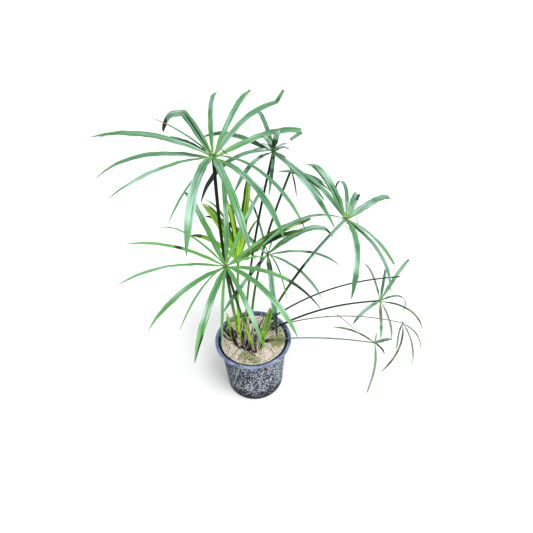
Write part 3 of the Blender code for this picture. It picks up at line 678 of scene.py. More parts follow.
rearCrown = {
    "a": bract(217, 18, 86, 197, 9, 4, 1, roll=(-15, -30), dark=[(0.68, 1.1, 0.8)], bloom=[(0.05, 0.4, 0.5)]),
    "b": bract(246, 17, 45, 177, 8.5, 1, 0, dark=[(0.3, 0.38, 0.6), (0.6, 0.68, 0.5)],
               bloom=[(0.05, 0.25, 0.5), (0.4, 0.55, 0.5)]),
    "c": bract(143, 13, 43, 205, 9.5, -7, 0, roll=(-25, -60), dark=[(0.04, 0.26, 0.75), (0.55, 0.95, 0.4)]),
    "d": bract(102, 29, 44, 158, 9, -1, 1, tip=0.3),
    "e": bract(269, 6, 43, 141, 6.5, -9, 1, dark=[(0.24, 0.32, 0.8), (0.55, 0.8, 0.7)]),
    "f": bract(279, 50, 30, 111, 11, -10, 2, tip=0.6, tone=0.2, dark=[(0.08, 0.36, 0.8)],
               bloom=[(0.4, 1.1, 0.8)]),
    "g": bract(298, -5, 41, 208, 9.5, 6, 1, roll=(10, 25), bloom=[(0.45, 0.7, 0.7)],
               dark=[(0.74, 0.8, 0.35), (0.96, 1.1, 0.8)]),
    "h": bract(287, 7, 10, 146, 9, 8, 0, roll=(10, 25), bloom=[(0.3, 0.9, 0.4)]),
    "i": bract(251, 40, 10, 99, 8.5, 7, 2, tip=0.4, dark=[(0.1, 0.26, 0.6)], bloom=[(0.3, 1.1, 0.9)]),
    "j": bract(30, 24, 39, 28, 7, 0, 0, tip=0.7),
    "k": bract(342, -8, 30, 26, 5, 0, 0, tip=0.6, dark=[(0.3, 1.1, 0.7)]),
    # leaflets of the rosette, too short for nodes of their own
    "m": bract(10, 34, 40, 30, 6, 0, 2, tip=0.3, bloom=[(0.2, 1.1, 0.7)]),
    "n": bract(152, 30, 40, 32, 6.5, 0, 2, tip=0.3, bloom=[(0.2, 1.1, 0.8)]),
    "o": bract(186, 24, 40, 40, 6, 0, 1, tip=0.3, dark=[(0.5, 0.8, 0.6)], bloom=[(0.1, 0.5, 0.6)]),
    "p": bract(330, 30, 50, 36, 6, 0, 2, tip=0.3, bloom=[(0.2, 1.1, 0.8)]),
    "q": bract(118, 40, 40, 34, 6.5, 0, 2, tip=0.4, bloom=[(0.2, 1.1, 0.8)]),
}
rightCrown = {
    "a": bract(105, 30, 58, 214, 14, 0, 1, tip=0.4, bloom=[(0.42, 0.66, 0.8)], dark=[(0.97, 1.1, 0.8)],
               keel=[(0.0, 0.4, 0.8)], tone=0.3),
    "b": bract(126, 38, 66, 200, 9.5, 12, 0, roll=(-15, -25), dark=[(0.0, 0.2, 0.3)], edge=[(0.4, 0.8, 1)],
               bloom=[(0.3, 0.7, 0.4)]),
    "c": bract(76, 21, 66, 198, 7.5, 21, 0, tip=0.4, folds=[(0.9, -40, 40, 0.12)], dark=[(0.82, 1.1, 0.9)],
               bloom=[(0.0, 0.25, 0.7)]),
    "d": bract(64, 12, 44, 136, 14.5, 9, 1, tip=0.9, roll=(5, 20), edge=[(0.5, 1.1, -1)],
               bloom=[(0.1, 0.4, 0.5)]),
    "e": bract(40, 8, 39, 178, 13.5, 12, 0, tip=0.75, taper=0.85, roll=(10, 30), bloom=[(0.1, 0.5, 0.6)],
               edge=[(0.8, 1.1, -1)]),
    "f": bract(302, 6, 44, 134, 7, -2, 1, tone=0.3, tip=0.5, bloom=[(0.1, 0.6, 0.5)]),
    "g": bract(304, -2, 84, 172, 7, 0, 0, bloom=[(0.3, 0.7, 0.6)]),
    "h": bract(283, 4, 70, 178, 10.5, -38, 1, dark=[(0.76, 1.1, 0.35)], bloom=[(0.52, 0.72, 1)]),
    "i": bract(215, 32, 66, 222, 8, 4, 1, bloom=[(0.3, 0.55, 0.4)]),
    "j": bract(107, 29, 57, 224, 7.5, 1, 0, bloom=[(0.3, 0.9, 0.5)]),
}
middleCrown = {
    "a": bract(40, 15, 74, 252, 14, 1, 1, tip=0.5, taper=0.85, roll=(10, 50), dark=[(0.82, 1.1, 1)], tone=0.1,
               bloom=[(0.4, 0.8, 0.5)]),
    "b": bract(75, 10, 50, 152, 3.5, 10, 0, dark=[(0.5, 0.8, 0.6)]),
    "c": bract(103, 29, 51, 215, 5.5, -2, 1, dark=[(0.55, 0.66, 0.8), (0.85, 1.1, 1)]),
    "d": bract(140, 25, 44, 209, 10.5, -3, 0, roll=(-15, -30), bloom=[(0.0, 0.4, 0.8)],
               dark=[(0.55, 0.7, 0.9), (0.85, 1.1, 1)]),
    "e": bract(359, 14, 69, 182, 8.5, 0, 0, dark=[(0.48, 0.54, 0.9)], bloom=[(0.3, 0.42, 0.3)]),
    "f": bract(318, 9, 68, 166, 7.5, 1, 1),
    "g": bract(273, 12, 60, 221, 11, 1, 0, dark=[(0.16, 0.32, 0.7), (0.78, 1.1, 0.85)],
               bloom=[(0.34, 0.7, 0.7)]),
    "h": bract(285, 24, 58, 172, 3, -6, 2, dark=[(0.3, 0.6, 0.6)]),
    "i": bract(249, 11, 32, 205, 8.5, -11, 1, dark=[(0.18, 0.27, 0.9), (0.42, 0.52, 0.9), (0.66, 0.78, 0.8)],
               bloom=[(0.54, 0.64, 0.7)]),
}
youngCrown = {
    "a": bract(79, 34, 39, 249, 17, 11, 1, edge=[(0.3, 0.9, 1)], keel=[(0.4, 0.95, 0.6)], tone=0.4),
    "b": bract(100, 24, 40, 240, 5, 26, 0, dark=[(0.3, 0.5, 0.6)], tone=-0.6),
    "c": bract(118, 28, 37, 196, 11.5, 0, 1, roll=(-15, -30), dry=[(0.78, 0.88, 0.5)], keel=[(0.3, 0.8, 0.7)],
               tone=0.5),
    "d": bract(146, 34, 56, 130, 9.5, 6, 0, roll=(-15, -30), dark=[(0.75, 1.1, 0.8)], tone=0.4),
    "e": bract(29, 26, 33, 186, 15, 0, 1, tip=0.3, roll=(25, 35), tone=-0.6, keel=[(0.1, 0.9, 0.9)],
               dark=[(0.35, 0.66, 0.6), (0.84, 0.95, 0.5)], bloom=[(0.68, 0.82, 1)]),
    "j": bract(28, 22, 34, 162, 12, 0, 0, tip=0.3, roll=(5, 10), tone=-0.9, keel=[(0.3, 0.9, 1)],
               dark=[(0.4, 0.8, 0.5)]),
    "f": bract(72, 23, 45, 153, 5, 2, 0, tone=-0.5),
    "g": bract(109, 29, 52, 219, 7.5, 11, 0, dark=[(0.35, 0.45, 0.7), (0.7, 0.8, 0.4)],
               keel=[(0.1, 0.9, 0.8)], tone=-0.2),
    "h": bract(99, 33, 45, 194, 7.5, 3, 2, dark=[(0.85, 1.1, 0.7)], edge=[(0.1, 0.85, 1)], tone=0.7),
    "i": bract(93, 29, 48, 196, 7.5, 12, 1, tone=0.8, edge=[(0.15, 0.9, -1)], keel=[(0.2, 0.8, 0.6)]),
}
backCrown = {
    "a": bract(306, -2, 40, 110, 7, 3, 1),
    "b": bract(338, -2, 30, 80, 6, 0, 0),
    "c": bract(280, -14, 53, 66, 3.5, -2, 0, dark=[(0.3, 0.7, 0.9)], dry=[(0.6, 1.1, 0.7)]),
    "d": bract(321, 0, 33, 100, 6.5, 2, 1, bloom=[(0.4, 0.7, 0.4)]),
}
lowRightCrown = {
    "a": bract(91, 19, 53, 152, 4.6, 5, 1, dry=[(0.2, 1.1, 0.4)], dark=[(0.12, 0.22, 0.7)]),
    "b": bract(70, 13, 62, 172, 6, 0, 0, edge=[(0.1, 0.8, 1)], dark=[(0.1, 0.5, 0.15)]),
    "c": bract(50, 19, 43, 176, 8, 6, 1, dark=[(0.92, 1.1, 1)], bloom=[(0.5, 0.8, 0.3)], roll=(5, 20),
               tip=0.4),
    "d": bract(22, 10, 120, 112, 5.5, -6, 1, tone=-0.2, dark=[(0.05, 0.2, 0.5), (0.45, 0.62, 0.8)], tip=0.4),
    "e": bract(340, 10, 94, 126, 5, -14, 0, dark=[(0.05, 0.5, 0.7), (0.7, 0.85, 0.9)], dry=[(0.5, 1.1, 0.5)]),
    "f": bract(266, -38, 46, 88, 7, 10, 0, dry=[(0.05, 0.5, 0.6)], dark=[(0.2, 0.35, 0.6), (0.6, 0.7, 0.5)],
               bloom=[(0.5, 1.1, 0.5)]),
    "g": bract(302, -34, 50, 94, 6, -12, 1, dry=[(0.2, 1.1, 0.5)], bloom=[(0.1, 1.1, 0.4)]),
    "h": bract(214, 6, 60, 88, 8.5, 0, 1, bloom=[(0.3, 0.75, 0.5)], dark=[(0.85, 1.1, 0.7)], tone=-0.1),
}
lowestCrown = {
    "a": bract(280, -48, 32, 128, 6, -64, 0, dry=[(0.1, 0.8, 0.35), (0.8, 1.1, 0.6)],
               bloom=[(0.1, 0.8, 0.45)], tip=0.3),
    "b": bract(15, 10, 30, 44, 8, 0, 1, tip=0.5, edge=[(0.2, 1.1, -1)], bloom=[(0.2, 0.9, 0.4)]),
    "c": bract(322, -14, 60, 36, 5, 0, 1, dark=[(0.0, 1.1, 0.95)]),
    "d": bract(162, 34, 46, 106, 5.2, 4, 1, dry=[(0.2, 1.1, 0.4)],
               dark=[(0.04, 0.4, 0.9), (0.5, 0.66, 0.9), (0.76, 0.82, 0.7)]),
    "e": bract(70, 24, 50, 34, 3.5, 0, 0, bloom=[(0.1, 1.1, 0.7)]),
}
dryCrown = {
    "a": bract(335, -10, 72, 80, 4.4, -50, 0, dark=[(0.0, 0.2, 0.8), (0.4, 0.6, 0.7)],
               bloom=[(0.6, 0.9, 0.4)]),
    "b": bract(306, -34, 44, 106, 4.4, -40, 1, dark=[(0.0, 0.2, 0.8), (0.5, 0.7, 0.7)]),
    "c": bract(268, -30, 22, 138, 4.6, -76, 0, dark=[(0.05, 0.38, 0.8), (0.48, 0.55, 0.9), (0.7, 0.8, 0.9)],
               dry=[(0.55, 0.7, 0.9)]),
    "d": bract(232, -16, 72, 72, 4, 36, 1, dark=[(0.0, 0.25, 0.8)], bloom=[(0.4, 0.9, 0.4)]),
}


# culms

potSize = {"height": 150 * mm, "rimRadius": 90 * mm, "rimWidth": 6.8 * mm, "rimThickness": 4.4 * mm,
           "bodyTop": 79.5 * mm, "base": 68 * mm, "baseRounding": 4 * mm, "wall": 2.2 * mm, "floor": 3 * mm}
soilSize = {"drop": 9 * mm, "crown": 0.5 * mm, "gap": 0.3 * mm, "socket": 10 * mm, "collar": 7 * mm}


def wallRadius(height):
    return potSize["base"] + (potSize["bodyTop"] - potSize["base"]) * height / potSize["height"]


def soilHeight(radius):
    level = potSize["height"] - soilSize["drop"]
    reach = wallRadius(level) - potSize["wall"]
    return level + soilSize["crown"] * (1 - (radius / reach) ** 2)


def culm(foot, top, bow, thick, **traits):  # millimetres: foot (x, y), top (x, y, z), bow (x, z), radii
    return dict(foot=foot, top=top, bow=bow, thick=thick, **traits)


culms = {
    "culm_top": culm((-31, -2), (-44, -20, 609), (-8, 0), (3.4, 3.1), skin="darkCulm"),
    "culm_front": culm((2, -31), (-39, -50, 407), (-3, 0), (2.8, 2.6), skin="brightCulm"),
    "culm_rear": culm((-20, 40), (56, 90, 566), (-9, 0), (2.7, 2.5), skin="darkCulm"),
    "culm_right": culm((21, 14), (186, 0, 466), (-11, 12), (2.3, 3.3), skin="rightCulm"),
    "culm_middle": culm((56, 24), (41, 70, 337), (5, 0), (2.4, 2.2), skin="darkCulm"),
    "culm_young": culm((-30, -16), (-21, 10, 368), (-3, 0), (3.1, 2.6), skin="youngCulm"),
    "culm_back": culm((-6, 56), (94, 150, 499), (-15, 0), (3.0, 2.7), skin="oliveCulm"),
    "culm_low_right": culm((34, 18), (281, 0, 256), (-4, 22), (2.3, 2.1), skin="duskyCulm"),
    "culm_lowest": culm((26, -8), (277, -30, 153), (0, 12), (1.6, 1.4), skin="greyCulm",
                        nodes=(0.2, 0.6, 0.78)),
    "culm_dry": culm((46, 34), (359, 30, 153), (0, 30), (1.3, 1.1), skin="dryCulm", nodes=(0.44, 0.62, 0.83)),
    "culm_bare": culm((30, 50), (334, 40, 290), (-8, 33), (2.1, 1.7), skin="duskyCulm", nodes=(0.12,)),
}
shoots = {
    "stalk_pale_left": culm((-20, -12), (-18, 0, 178), (0, 0), (0.9, 0.7), skin="paleCulm"),
    "stalk_pale_right": culm((8, -20), (3, -10, 172), (0, 0), (0.9, 0.7), skin="paleCulm"),
}
stemSetup = {"points": 9, "knot": 4.1 * mm, "swelling": 0.45}


def culmPath(lie):
    ground = soilHeight(math.hypot(*lie["foot"]) * mm)
    foot = Vector((*lie["foot"], 0)) * mm
    collar = foot + up * (ground + soilSize["collar"])
    end = Vector(lie["top"]) * mm
    points = [foot + up * (ground - soilSize["socket"])]
    count = stemSetup["points"] - 1
    for i in range(count):
        along = i / (count - 1)
        bow = 4 * along * (1 - along) * Vector((lie["bow"][0], 0, lie["bow"][1])) * mm
        points.append(collar.lerp(end, along) + bow)
    return points


def hubOf(name):  # where a crown's bracts meet, just past the end of its culm
    before, top = culmPath(culms[name])[-2:]
    return top + (stemSetup["knot"] + 2 * soilSize["gap"]) * (top - before).normalized()


def rod(name, points, radii, skin, nodes=()):  # a stem laid on its route, swollen at its nodes
    obj = copyOf(stemMaster, name)
    for vert in obj.data.vertices:
        swell = 1 + stemSetup["swelling"] * sum(math.exp(-((vert.co.x - at) / 0.006) ** 2) for at in nodes)
        vert.co.y *= swell
        vert.co.z *= swell
    paint(obj, "along", lambda co: co.x)
    layAlong(obj, points, radii, kind="NURBS")
    obj.data.materials.append(stems[skin])
    return obj


def growStem(name, lie, slot, end=None):
    points = culmPath(lie)
    if end is not None:
        points[-1] = end
    first, last = lie["thick"]
    count = len(points) - 1
    radii = [(first + (last - first) * i / count) * mm for i in range(count + 1)]
    stem = rod(name + "Skin", points, radii, lie["skin"], lie.get("nodes", ()))
    smooth(stem, 60)
    belongs(stem, slot, name)


for name, lie in culms.items():
    end = Vector(lie["top"]) * mm if name in ("culm_top", "culm_front") else hubOf(name)
    slot = "dry_straw" if name == "culm_dry" else "culm_green"
    growStem(name, lie, slot, None if name == "culm_bare" else end)
for name, lie in shoots.items():
    growStem(name, lie, "dry_straw")
print("culms grown")


# crown hearts: the knot where bracts meet, with its bracteoles and a few spikelets

heart = {"knot": 3.4 * mm, "bracteoles": 9, "bracteole": (15 * mm, 1.7 * mm), "rays": 7, "ray": 5 * mm,
         "rayRadius": 0.35 * mm, "spikelet": 3.2 * mm, "spikeletsOnRay": 3}


def aim(origin, direction, *scale):  # a piece along X, turned along this direction and scaled
    turn = direction.to_track_quat("X", "Z").to_matrix().to_4x4()
    return Matrix.Translation(origin) @ turn @ Matrix.Diagonal((*scale, 1))


def growHeart(name, hub, size, material):
    chance = random.Random(name)
    radius = heart["knot"] * size
    bpy.ops.object.select_all(action="DESELECT")
    bpy.ops.mesh.primitive_uv_sphere_add(segments=18, ring_count=12, radius=radius, location=hub)
    knot = fresh(name + "Knot")
    with editing():
        pick(knot, "verts", lambda vert: vert.co.z > hub.z + radius * 0.6)
        resize((0.8, 0.8, 0.4), hub)
    paint(knot, "tone", lambda co: 1.0)
    knot.data.materials.append(material)
    smooth(knot, 60)
    pieces, spikelets = [knot], []
    for i in range(heart["bracteoles"]):
        angle = 2 * math.pi * (i + chance.uniform(-0.3, 0.3)) / heart["bracteoles"]
        climb = math.radians(chance.uniform(25, 70))
        length, width = (side * size * chance.uniform(0.6, 1.1) for side in heart["bracteole"])
        way = heading(angle, climb)
        points = [hub + way * length * step / 6 - up * length * 0.25 * (step / 6) ** 2 for step in range(7)]
        traits = {"tone": 0.9, "dry": [(0.75, 1.1, 0.9)] if i % 3 == 0 else ()}
        pieces.append(layBlade(f"{name}Bracteole{i}", points, width, traits, material, None, stripMaster))
    for i in range(heart["rays"]):
        angle = chance.uniform(0, 2 * math.pi)
        way = heading(angle, math.radians(chance.uniform(35, 80)))
        reach = heart["ray"] * size * chance.uniform(0.5, 1)
        ray = copyOf(rayMaster, f"{name}Ray{i}")
        paint(ray, "along", lambda co: co.x)
        ray.data.transform(aim(hub, way, reach, heart["rayRadius"], heart["rayRadius"]))
        ray.data.materials.append(stems["paleCulm"])
        pieces.append(ray)
        for j in range(heart["spikeletsOnRay"]):
            side = (way + Vector([chance.uniform(-0.8, 0.8) for _ in range(3)])).normalized()
            spikelet = copyOf(spikeletMaster, f"{name}Spikelet{i}{j}")
            tint = chance.random()
            paint(spikelet, "shade", lambda co: tint)
            long = heart["spikelet"] * size * chance.uniform(0.7, 1.1)
            spikelet.data.transform(aim(hub + way * reach * 0.97, side, long, long, long))
            spikelet.data.materials.append(spikeletScale)
            smooth(spikelet)
            spikelets.append(spikelet)
    return pieces + spikelets


# crowns: (culm, bracts, traits, size of the heart)
crowns = {
    "top": ("culm_top", topCrown, {"tone": 0.0}, 1.0),
    "front": ("culm_front", frontCrown, {"tone": 0.5, "sheenBaseline": 0.12}, 1.0),
    "rear": ("culm_rear", rearCrown, {"tone": -0.22, "sheenBaseline": 0.15}, 0.8),
    "right": ("culm_right", rightCrown, {"tone": -0.1, "sheenBaseline": 0.15}, 1.0),
    "middle": ("culm_middle", middleCrown, {"tone": -0.12, "sheenBaseline": 0.22}, 0.8),
    "young": ("culm_young", youngCrown, {"tone": 0.0}, 0.6),
    "back": ("culm_back", backCrown, {"tone": -0.2}, 0.8),
    "low_right": ("culm_low_right", lowRightCrown, {"tone": -0.05, "sheenBaseline": 0.2}, 0.7),
    "lowest": ("culm_lowest", lowestCrown, {"tone": -0.2, "sheenBaseline": 0.2}, 0.6),
    "dry": ("culm_dry", dryCrown, {"tone": 0.0, "dryness": 0.3}, 0.5),
}
for place, (stem, bracts, traits, size) in crowns.items():
    separate = place in ("top", "front")  # these two have a node for each bract
    material = youngLeaf if place == "young" else waxyLeaf
    slot = {"young": "young_green", "dry": "dry_straw"}.get(place, "leaf_green")
    hub = Vector(culms[stem]["top"]) * mm if separate else hubOf(stem)
    start = bractSetup["start"] if separate else 0
    pieces = [growBract(f"{place}Bract_{key}", hub, lie, start, material, traits)
              for key, lie in bracts.items()]
    if separate:
        for key, piece in zip(bracts, pieces):
            belongs(piece, slot, f"bract_{place}_{key}")
        belongs(joined(f"{place}Heart", growHeart(place + "Heart", hub, size, material)), slot, stem)
    else:
        pieces += growHeart(place + "Heart", hub, size, material)
        belongs(joined(f"{place}Crown", pieces), slot, f"crown_{place}")
    print("crown grown:", place)


# pot and soil, turned by extruding a ring and scaling it from one radius to the next

potDetail = {"sides": 256, "beadDrop": 13.5 * mm, "beadReach": 1.2 * mm, "wallRings": 84,
             "fineRings": ((131.0 * mm, 0.5 * mm), (122.5 * mm, 0.35 * mm), (12.0 * mm, 0.6 * mm)),
             "paleRing": (122.5 * mm, 1.6 * mm), "crustRelief": 0.16 * mm, "cleanRim": 7.8 * mm,
             "bottomStep": 1.2 * mm, "footRing": 60 * mm, "axis": 0.5 * mm}  # outlines stop short of the axis
limeAndPaintedLight = {  # where the lime specks lie, carrying painted light and shade too: the weather side is front right, where the specks also thicken as painted light; fewer specks low down are a painted shade, and their thinning to none just under the rim a painted shadow; belts are height and width of a change
    "weatheredLitSide": 50, "belt": (-8 * mm, 52 * mm), "thinner": (128 * mm, 12 * mm), "shadowUnderRim": (137 * mm, 4 * mm),
    "patches": ((16 * mm, 0.3), (5 * mm, 0.2)), "ridge": 2.4 * mm, "level": 0.25}


def arc(centre, radius, start, end, steps):
    turns = [math.radians(start + (end - start) * i / steps) for i in range(steps + 1)]
    return [(centre[0] + radius * math.cos(t), centre[1] + radius * math.sin(t)) for t in turns]


def turnOutline(name, outline, sides):
    radius, base = outline[0]
    bpy.ops.object.select_all(action="DESELECT")
    bpy.ops.mesh.primitive_circle_add(vertices=sides, radius=radius, location=(0, 0, base))
    obj = fresh(name)
    with editing():
        bpy.ops.mesh.select_all(action="SELECT")
        bpy.ops.mesh.edge_face_add()
        bpy.ops.mesh.delete(type="ONLY_FACE")
        bpy.ops.mesh.select_all(action="SELECT")
        for (before, low), (after, high) in zip(outline, outline[1:]):
            bpy.ops.mesh.extrude_region_move(TRANSFORM_OT_translate={"value": (0, 0, high - low)})
            resize((after / before, after / before, 1))
        bpy.ops.mesh.edge_face_add()
        pick(obj, "verts", lambda vert: len(vert.link_edges) == 3 and abs(vert.co.z - base) < 1e-6
             and abs(vert.co.xy.length - radius) < 1e-5)
        bpy.ops.mesh.edge_face_add()
        bpy.ops.mesh.select_all(action="SELECT")
        bpy.ops.mesh.normals_make_consistent(inside=False)
    return obj


def potOutline():
    tall, rim, lip = potSize["height"], potSize["rimRadius"], potSize["rimThickness"] / 2
    under = tall - potSize["rimThickness"]
    floor, wall, rounding = potSize["floor"], potSize["wall"], potSize["baseRounding"]
    inner = rim - potSize["rimWidth"]
    ridges = ((tall - potDetail["beadDrop"], potDetail["beadReach"]), *potDetail["fineRings"])
    axis, bend, lipBend = potDetail["axis"], 2 * mm, 1.4 * mm  # inner corners are bent over this far
    outline = [(axis, floor), (wallRadius(floor) - wall - bend, floor)]
    outline += [(wallRadius(floor) - wall, floor + bend)]
    outline += [(wallRadius(floor + (under - floor) * i / 12) - wall, floor + (under - floor) * i / 12)
                for i in range(2, 12)]
    outline += [(wallRadius(under) - wall, under - bend), (inner - 0.6 * mm, tall - 2.4 * mm)]
    outline += arc((inner + lipBend, tall - lipBend), lipBend, 180, 90, 4)
    outline += arc((rim - lip, tall - lip), lip, 90, -90, 10)
    outline += [(wallRadius(under) + 1.6 * mm, under), (wallRadius(under) + 0.6 * mm, under - 0.4 * mm)]
    rings = potDetail["wallRings"]
    for i in range(rings + 1):
        height = under - 1.2 * mm - (under - 1.2 * mm - rounding) * i / rings
        radius = wallRadius(height)
        for at, reach in ridges:
            radius += reach * max(0, 1 - abs(height - at) / (1.1 * mm + reach)) ** 0.6
        outline.append((radius, height))
    outline += arc((wallRadius(rounding) - rounding, rounding), rounding, -9, -90, 7)
    ring, step = potDetail["footRing"], potDetail["bottomStep"]
    outline += [(ring, 0), (ring - 1.5 * mm, step), (20 * mm, step), (axis, step)]
    return outline


def limeAndPaintedLightAt(place):  # 0 to 1: how thick the lime specks lie at a place on the wall, thicker on the lit front right as painted light and thinner low down and under the rim as painted shade
    change = lambda name: ease((place.z - limeAndPaintedLight[name][0]) / limeAndPaintedLight[name][1])
    # the weathered front right, also thickened as painted light where the light falls
    lean = 0.5 + 0.5 * math.cos(math.atan2(place.y, place.x) + math.radians(limeAndPaintedLight["weatheredLitSide"]))
    belt = change("belt") * (1 - 0.5 * change("thinner")) * (1 - 0.8 * change("shadowUnderRim"))
    patches = sum(amount * noise.noise(place / size) for size, amount in limeAndPaintedLight["patches"])
    ridge = ease(1.2 - abs(place.z - potSize["height"] + potDetail["beadDrop"]) / limeAndPaintedLight["ridge"])
    at, width = potDetail["paleRing"]
    ring = 0.55 * ease(1.2 - abs(place.z - at) / width) * (1 - 0.8 * lean)
    return min(1, max(0, 0.65 * lean * belt + 0.12 * belt + patches + 0.9 * ridge + ring))


def modelPot():
    pot = turnOutline("rimmedPot", potOutline(), potDetail["sides"])
    under = potSize["height"] - potSize["rimThickness"] - 0.5 * mm
    wall = [vert for vert in pot.data.vertices if 4 * mm < vert.co.z < under - 2 * mm
            and vert.co.xy.length > wallRadius(vert.co.z) - 0.5 * mm]
    onWall = {vert.index for vert in wall}
    for vert in wall:
        out = Vector((vert.co.x, vert.co.y, 0)).normalized()
        vert.co += out * potDetail["crustRelief"] * (limeAndPaintedLightAt(vert.co) - limeAndPaintedLight["level"])
    values = pot.data.attributes.new("limeAndPaintedLight", "FLOAT", "POINT")
    inside = lambda co: 0.1 + 0.6 * ease(0.3 + co.y / (80 * mm))  # paler inside at the back: painted light on the lit back of the inner wall, painted shade at its front
    values.data.foreach_set("value", [limeAndPaintedLightAt(v.co) if v.index in onWall else inside(v.co)
                                      for v in pot.data.vertices])
    rimLightFrom = math.radians(235)  # painted highlight: the rim is palest at the front left, in painted shade at the back
    paint(pot, "paintedRimLight", lambda co: 0.45 + 0.55 * ease(0.5 + 0.9 * math.cos(math.atan2(co.y, co.x) - rimLightFrom)))
    pot.data.materials.append(potPlastic)
    pot.data.materials.append(rimPlastic)
    for face in pot.data.polygons:
        middle = face.center
        if middle.z > under and middle.xy.length > potSize["rimRadius"] - potDetail["cleanRim"]:
            face.material_index = 1
    smooth(pot, 40)
    return pot


pot = modelPot()
belongs(pot, "pot_plastic", "pot")
print("pot turned,", len(pot.data.polygons), "faces")

soilDetail = {  # relief: size and height of its waves; moss patches: centre, size and how thick it grows
    "sides": 200, "rings": 84,
    "relief": ((26 * mm, 1.5 * mm), (7 * mm, 0.7 * mm), (2.6 * mm, 0.45 * mm)), "mound": (1.8 * mm, 60),
    "bank": (65 * mm, 10 * mm, 4.2 * mm), "mossHeight": 0.5 * mm, "mossEdge": (9, 14),
    "moss": [((56, -4), 28, 0.8), ((64, 18), 14, 0.55), ((-14, -50), 24, 0.6), ((6, -64), 16, 0.7),
             ((46, 36), 9, 0.4)]}
mounds = [lie["foot"] for lie in culms.values()] + [(-47, -6), (14, -34)]


def mossAt(x, y):  # places in metres, patches in millimetres
    ragged, soft = soilDetail["mossEdge"]
    spread = noise.noise(Vector((x, y, 0.3)) / (9 * mm)) * ragged
    spread += noise.noise(Vector((x, y, 0.7)) / (3 * mm)) * ragged
    return max(amount * ease((size - math.hypot(x / mm - cx, y / mm - cy) + spread) / soft)
               for (cx, cy), size, amount in soilDetail["moss"])


def soilTop(x, y):
    radius = math.hypot(x, y)
    height = soilHeight(radius)
    for size, amount in soilDetail["relief"]:
        height += amount * noise.noise(Vector((x, y, 0)) / size)
    tall, spread = soilDetail["mound"]
    height += tall * max(math.exp(-((x / mm - cx) ** 2 + (y / mm - cy) ** 2) / spread) for cx, cy in mounds)
    start, reach, rise = soilDetail["bank"]  # banked up at the wall
    height += rise * ease((radius - start) / reach)
    return height + soilDetail["mossHeight"] * mossAt(x, y)


def onGround(x, y, lift):  # all in millimetres
    return Vector((x * mm, y * mm, soilTop(x * mm, y * mm) + lift * mm))


def modelSoil():
    level = potSize["height"] - soilSize["drop"]
    edge = wallRadius(level) - potSize["wall"] - soilSize["gap"]
    foot = wallRadius(6 * mm) - potSize["wall"] - 3 * mm
    base = potSize["floor"] + 0.4 * mm
    rings = soilDetail["rings"]
    outline = [(edge * i / rings, soilHeight(edge * i / rings)) for i in range(1, rings + 1)]
    outline += [(edge - 0.4 * mm, level - 3 * mm), (foot, base), (potDetail["axis"], base)]
    soil = turnOutline("soilBed", outline, soilDetail["sides"])
    for vert in soil.data.vertices:
        if vert.co.z > level - 1 * mm:
            vert.co.z = soilTop(vert.co.x, vert.co.y)
    paint(soil, "moss", lambda co: mossAt(co.x, co.y) if co.z > level - 4 * mm else 0)
    soil.data.materials.append(soilMix)
    smooth(soil, 60)
    return soil, edge


soil, soilEdge = modelSoil()
belongs(soil, "sandy_soil", "soil")
print("soil laid")


# what lies on the soil, sown as joined copies

def sow(name, master, places, material):  # places: (matrix, shade)
    shape = bmesh.new()
    layer = shape.verts.layers.float.new("shade")
    for matrix, shade in places:
        seen = len(shape.verts)
        shape.from_mesh(master.data)
        shape.verts.ensure_lookup_table()
        grown = shape.verts[seen:]
        bmesh.ops.transform(shape, matrix=matrix, verts=grown)
        for vert in grown:
            vert[layer] = shade
    obj = copyOf(master, name)
    shape.to_mesh(obj.data)
    shape.free()
    obj.data.materials.append(material)
    belongs(obj, "sandy_soil")


def modelGrain():
    bpy.ops.object.select_all(action="DESELECT")
    bpy.ops.mesh.primitive_ico_sphere_add(subdivisions=1, radius=0.5)
    grain = fresh("grainMaster")
    with editing():
        pick(grain, "verts", lambda vert: vert.co.x > 0.2)
        resize((1.2, 0.8, 0.7))
    return grain


def modelTuft():  # one moss shoot: a small leaning cone
    bpy.ops.object.select_all(action="DESELECT")
    bpy.ops.mesh.primitive_cone_add(vertices=5, radius1=0.5, radius2=0.05, depth=1, location=(0, 0, 0.5))
    tuft = fresh("tuftMaster")
    with editing():
        pick(tuft, "verts", lambda vert: vert.co.z > 0.9)
        bpy.ops.transform.translate(value=(0.35, 0, 0))
    return tuft


sowing = {"grains": 2600, "grain": (0.7, 2.3), "tufts": 2400, "tuft": (0.9, 1.9)}


def scatter(chance, count, accept):
    places = []
    while len(places) < count:
        angle, radius = chance.uniform(0, 2 * math.pi), soilEdge * math.sqrt(chance.random())
        x, y = radius * math.cos(angle), radius * math.sin(angle)
        if accept(x, y):
            places.append((x, y))
    return places


def turnedAt(chance, x, y, sink, sizes, lean):
    size = chance.uniform(*sizes) * mm
    turn = Matrix.Rotation(chance.uniform(0, 2 * math.pi), 4, "Z")
    turn = turn @ Matrix.Rotation(chance.uniform(-lean, lean), 4, "Y")
    shape = Matrix.Diagonal((size, size * chance.uniform(0.6, 1), size * chance.uniform(0.5, 1), 1))
    return Matrix.Translation((x, y, soilTop(x, y) + sink * size)) @ turn @ shape


def sowSoil():
    chance = random.Random("grains")
    grain, tuft = modelGrain(), modelTuft()
    bare = lambda x, y: mossAt(x, y) < 0.4 and math.hypot(x, y) < soilEdge - 1.5 * mm
    spots = scatter(chance, sowing["grains"], bare)
    places = [(turnedAt(chance, x, y, 0.12, sowing["grain"], 1.5), chance.random()) for x, y in spots]
    sow("sandGrainLayer", grain, places, sandGrains)
    spots = scatter(chance, sowing["tufts"], lambda x, y: mossAt(x, y) > 0.2 + 0.6 * chance.random())
    places = [(turnedAt(chance, x, y, -0.1, sowing["tuft"], 0.6), chance.random()) for x, y in spots]
    sow("mossTufts", tuft, places, mossLeaf)
    for master in (grain, tuft):
        bpy.data.objects.remove(master)


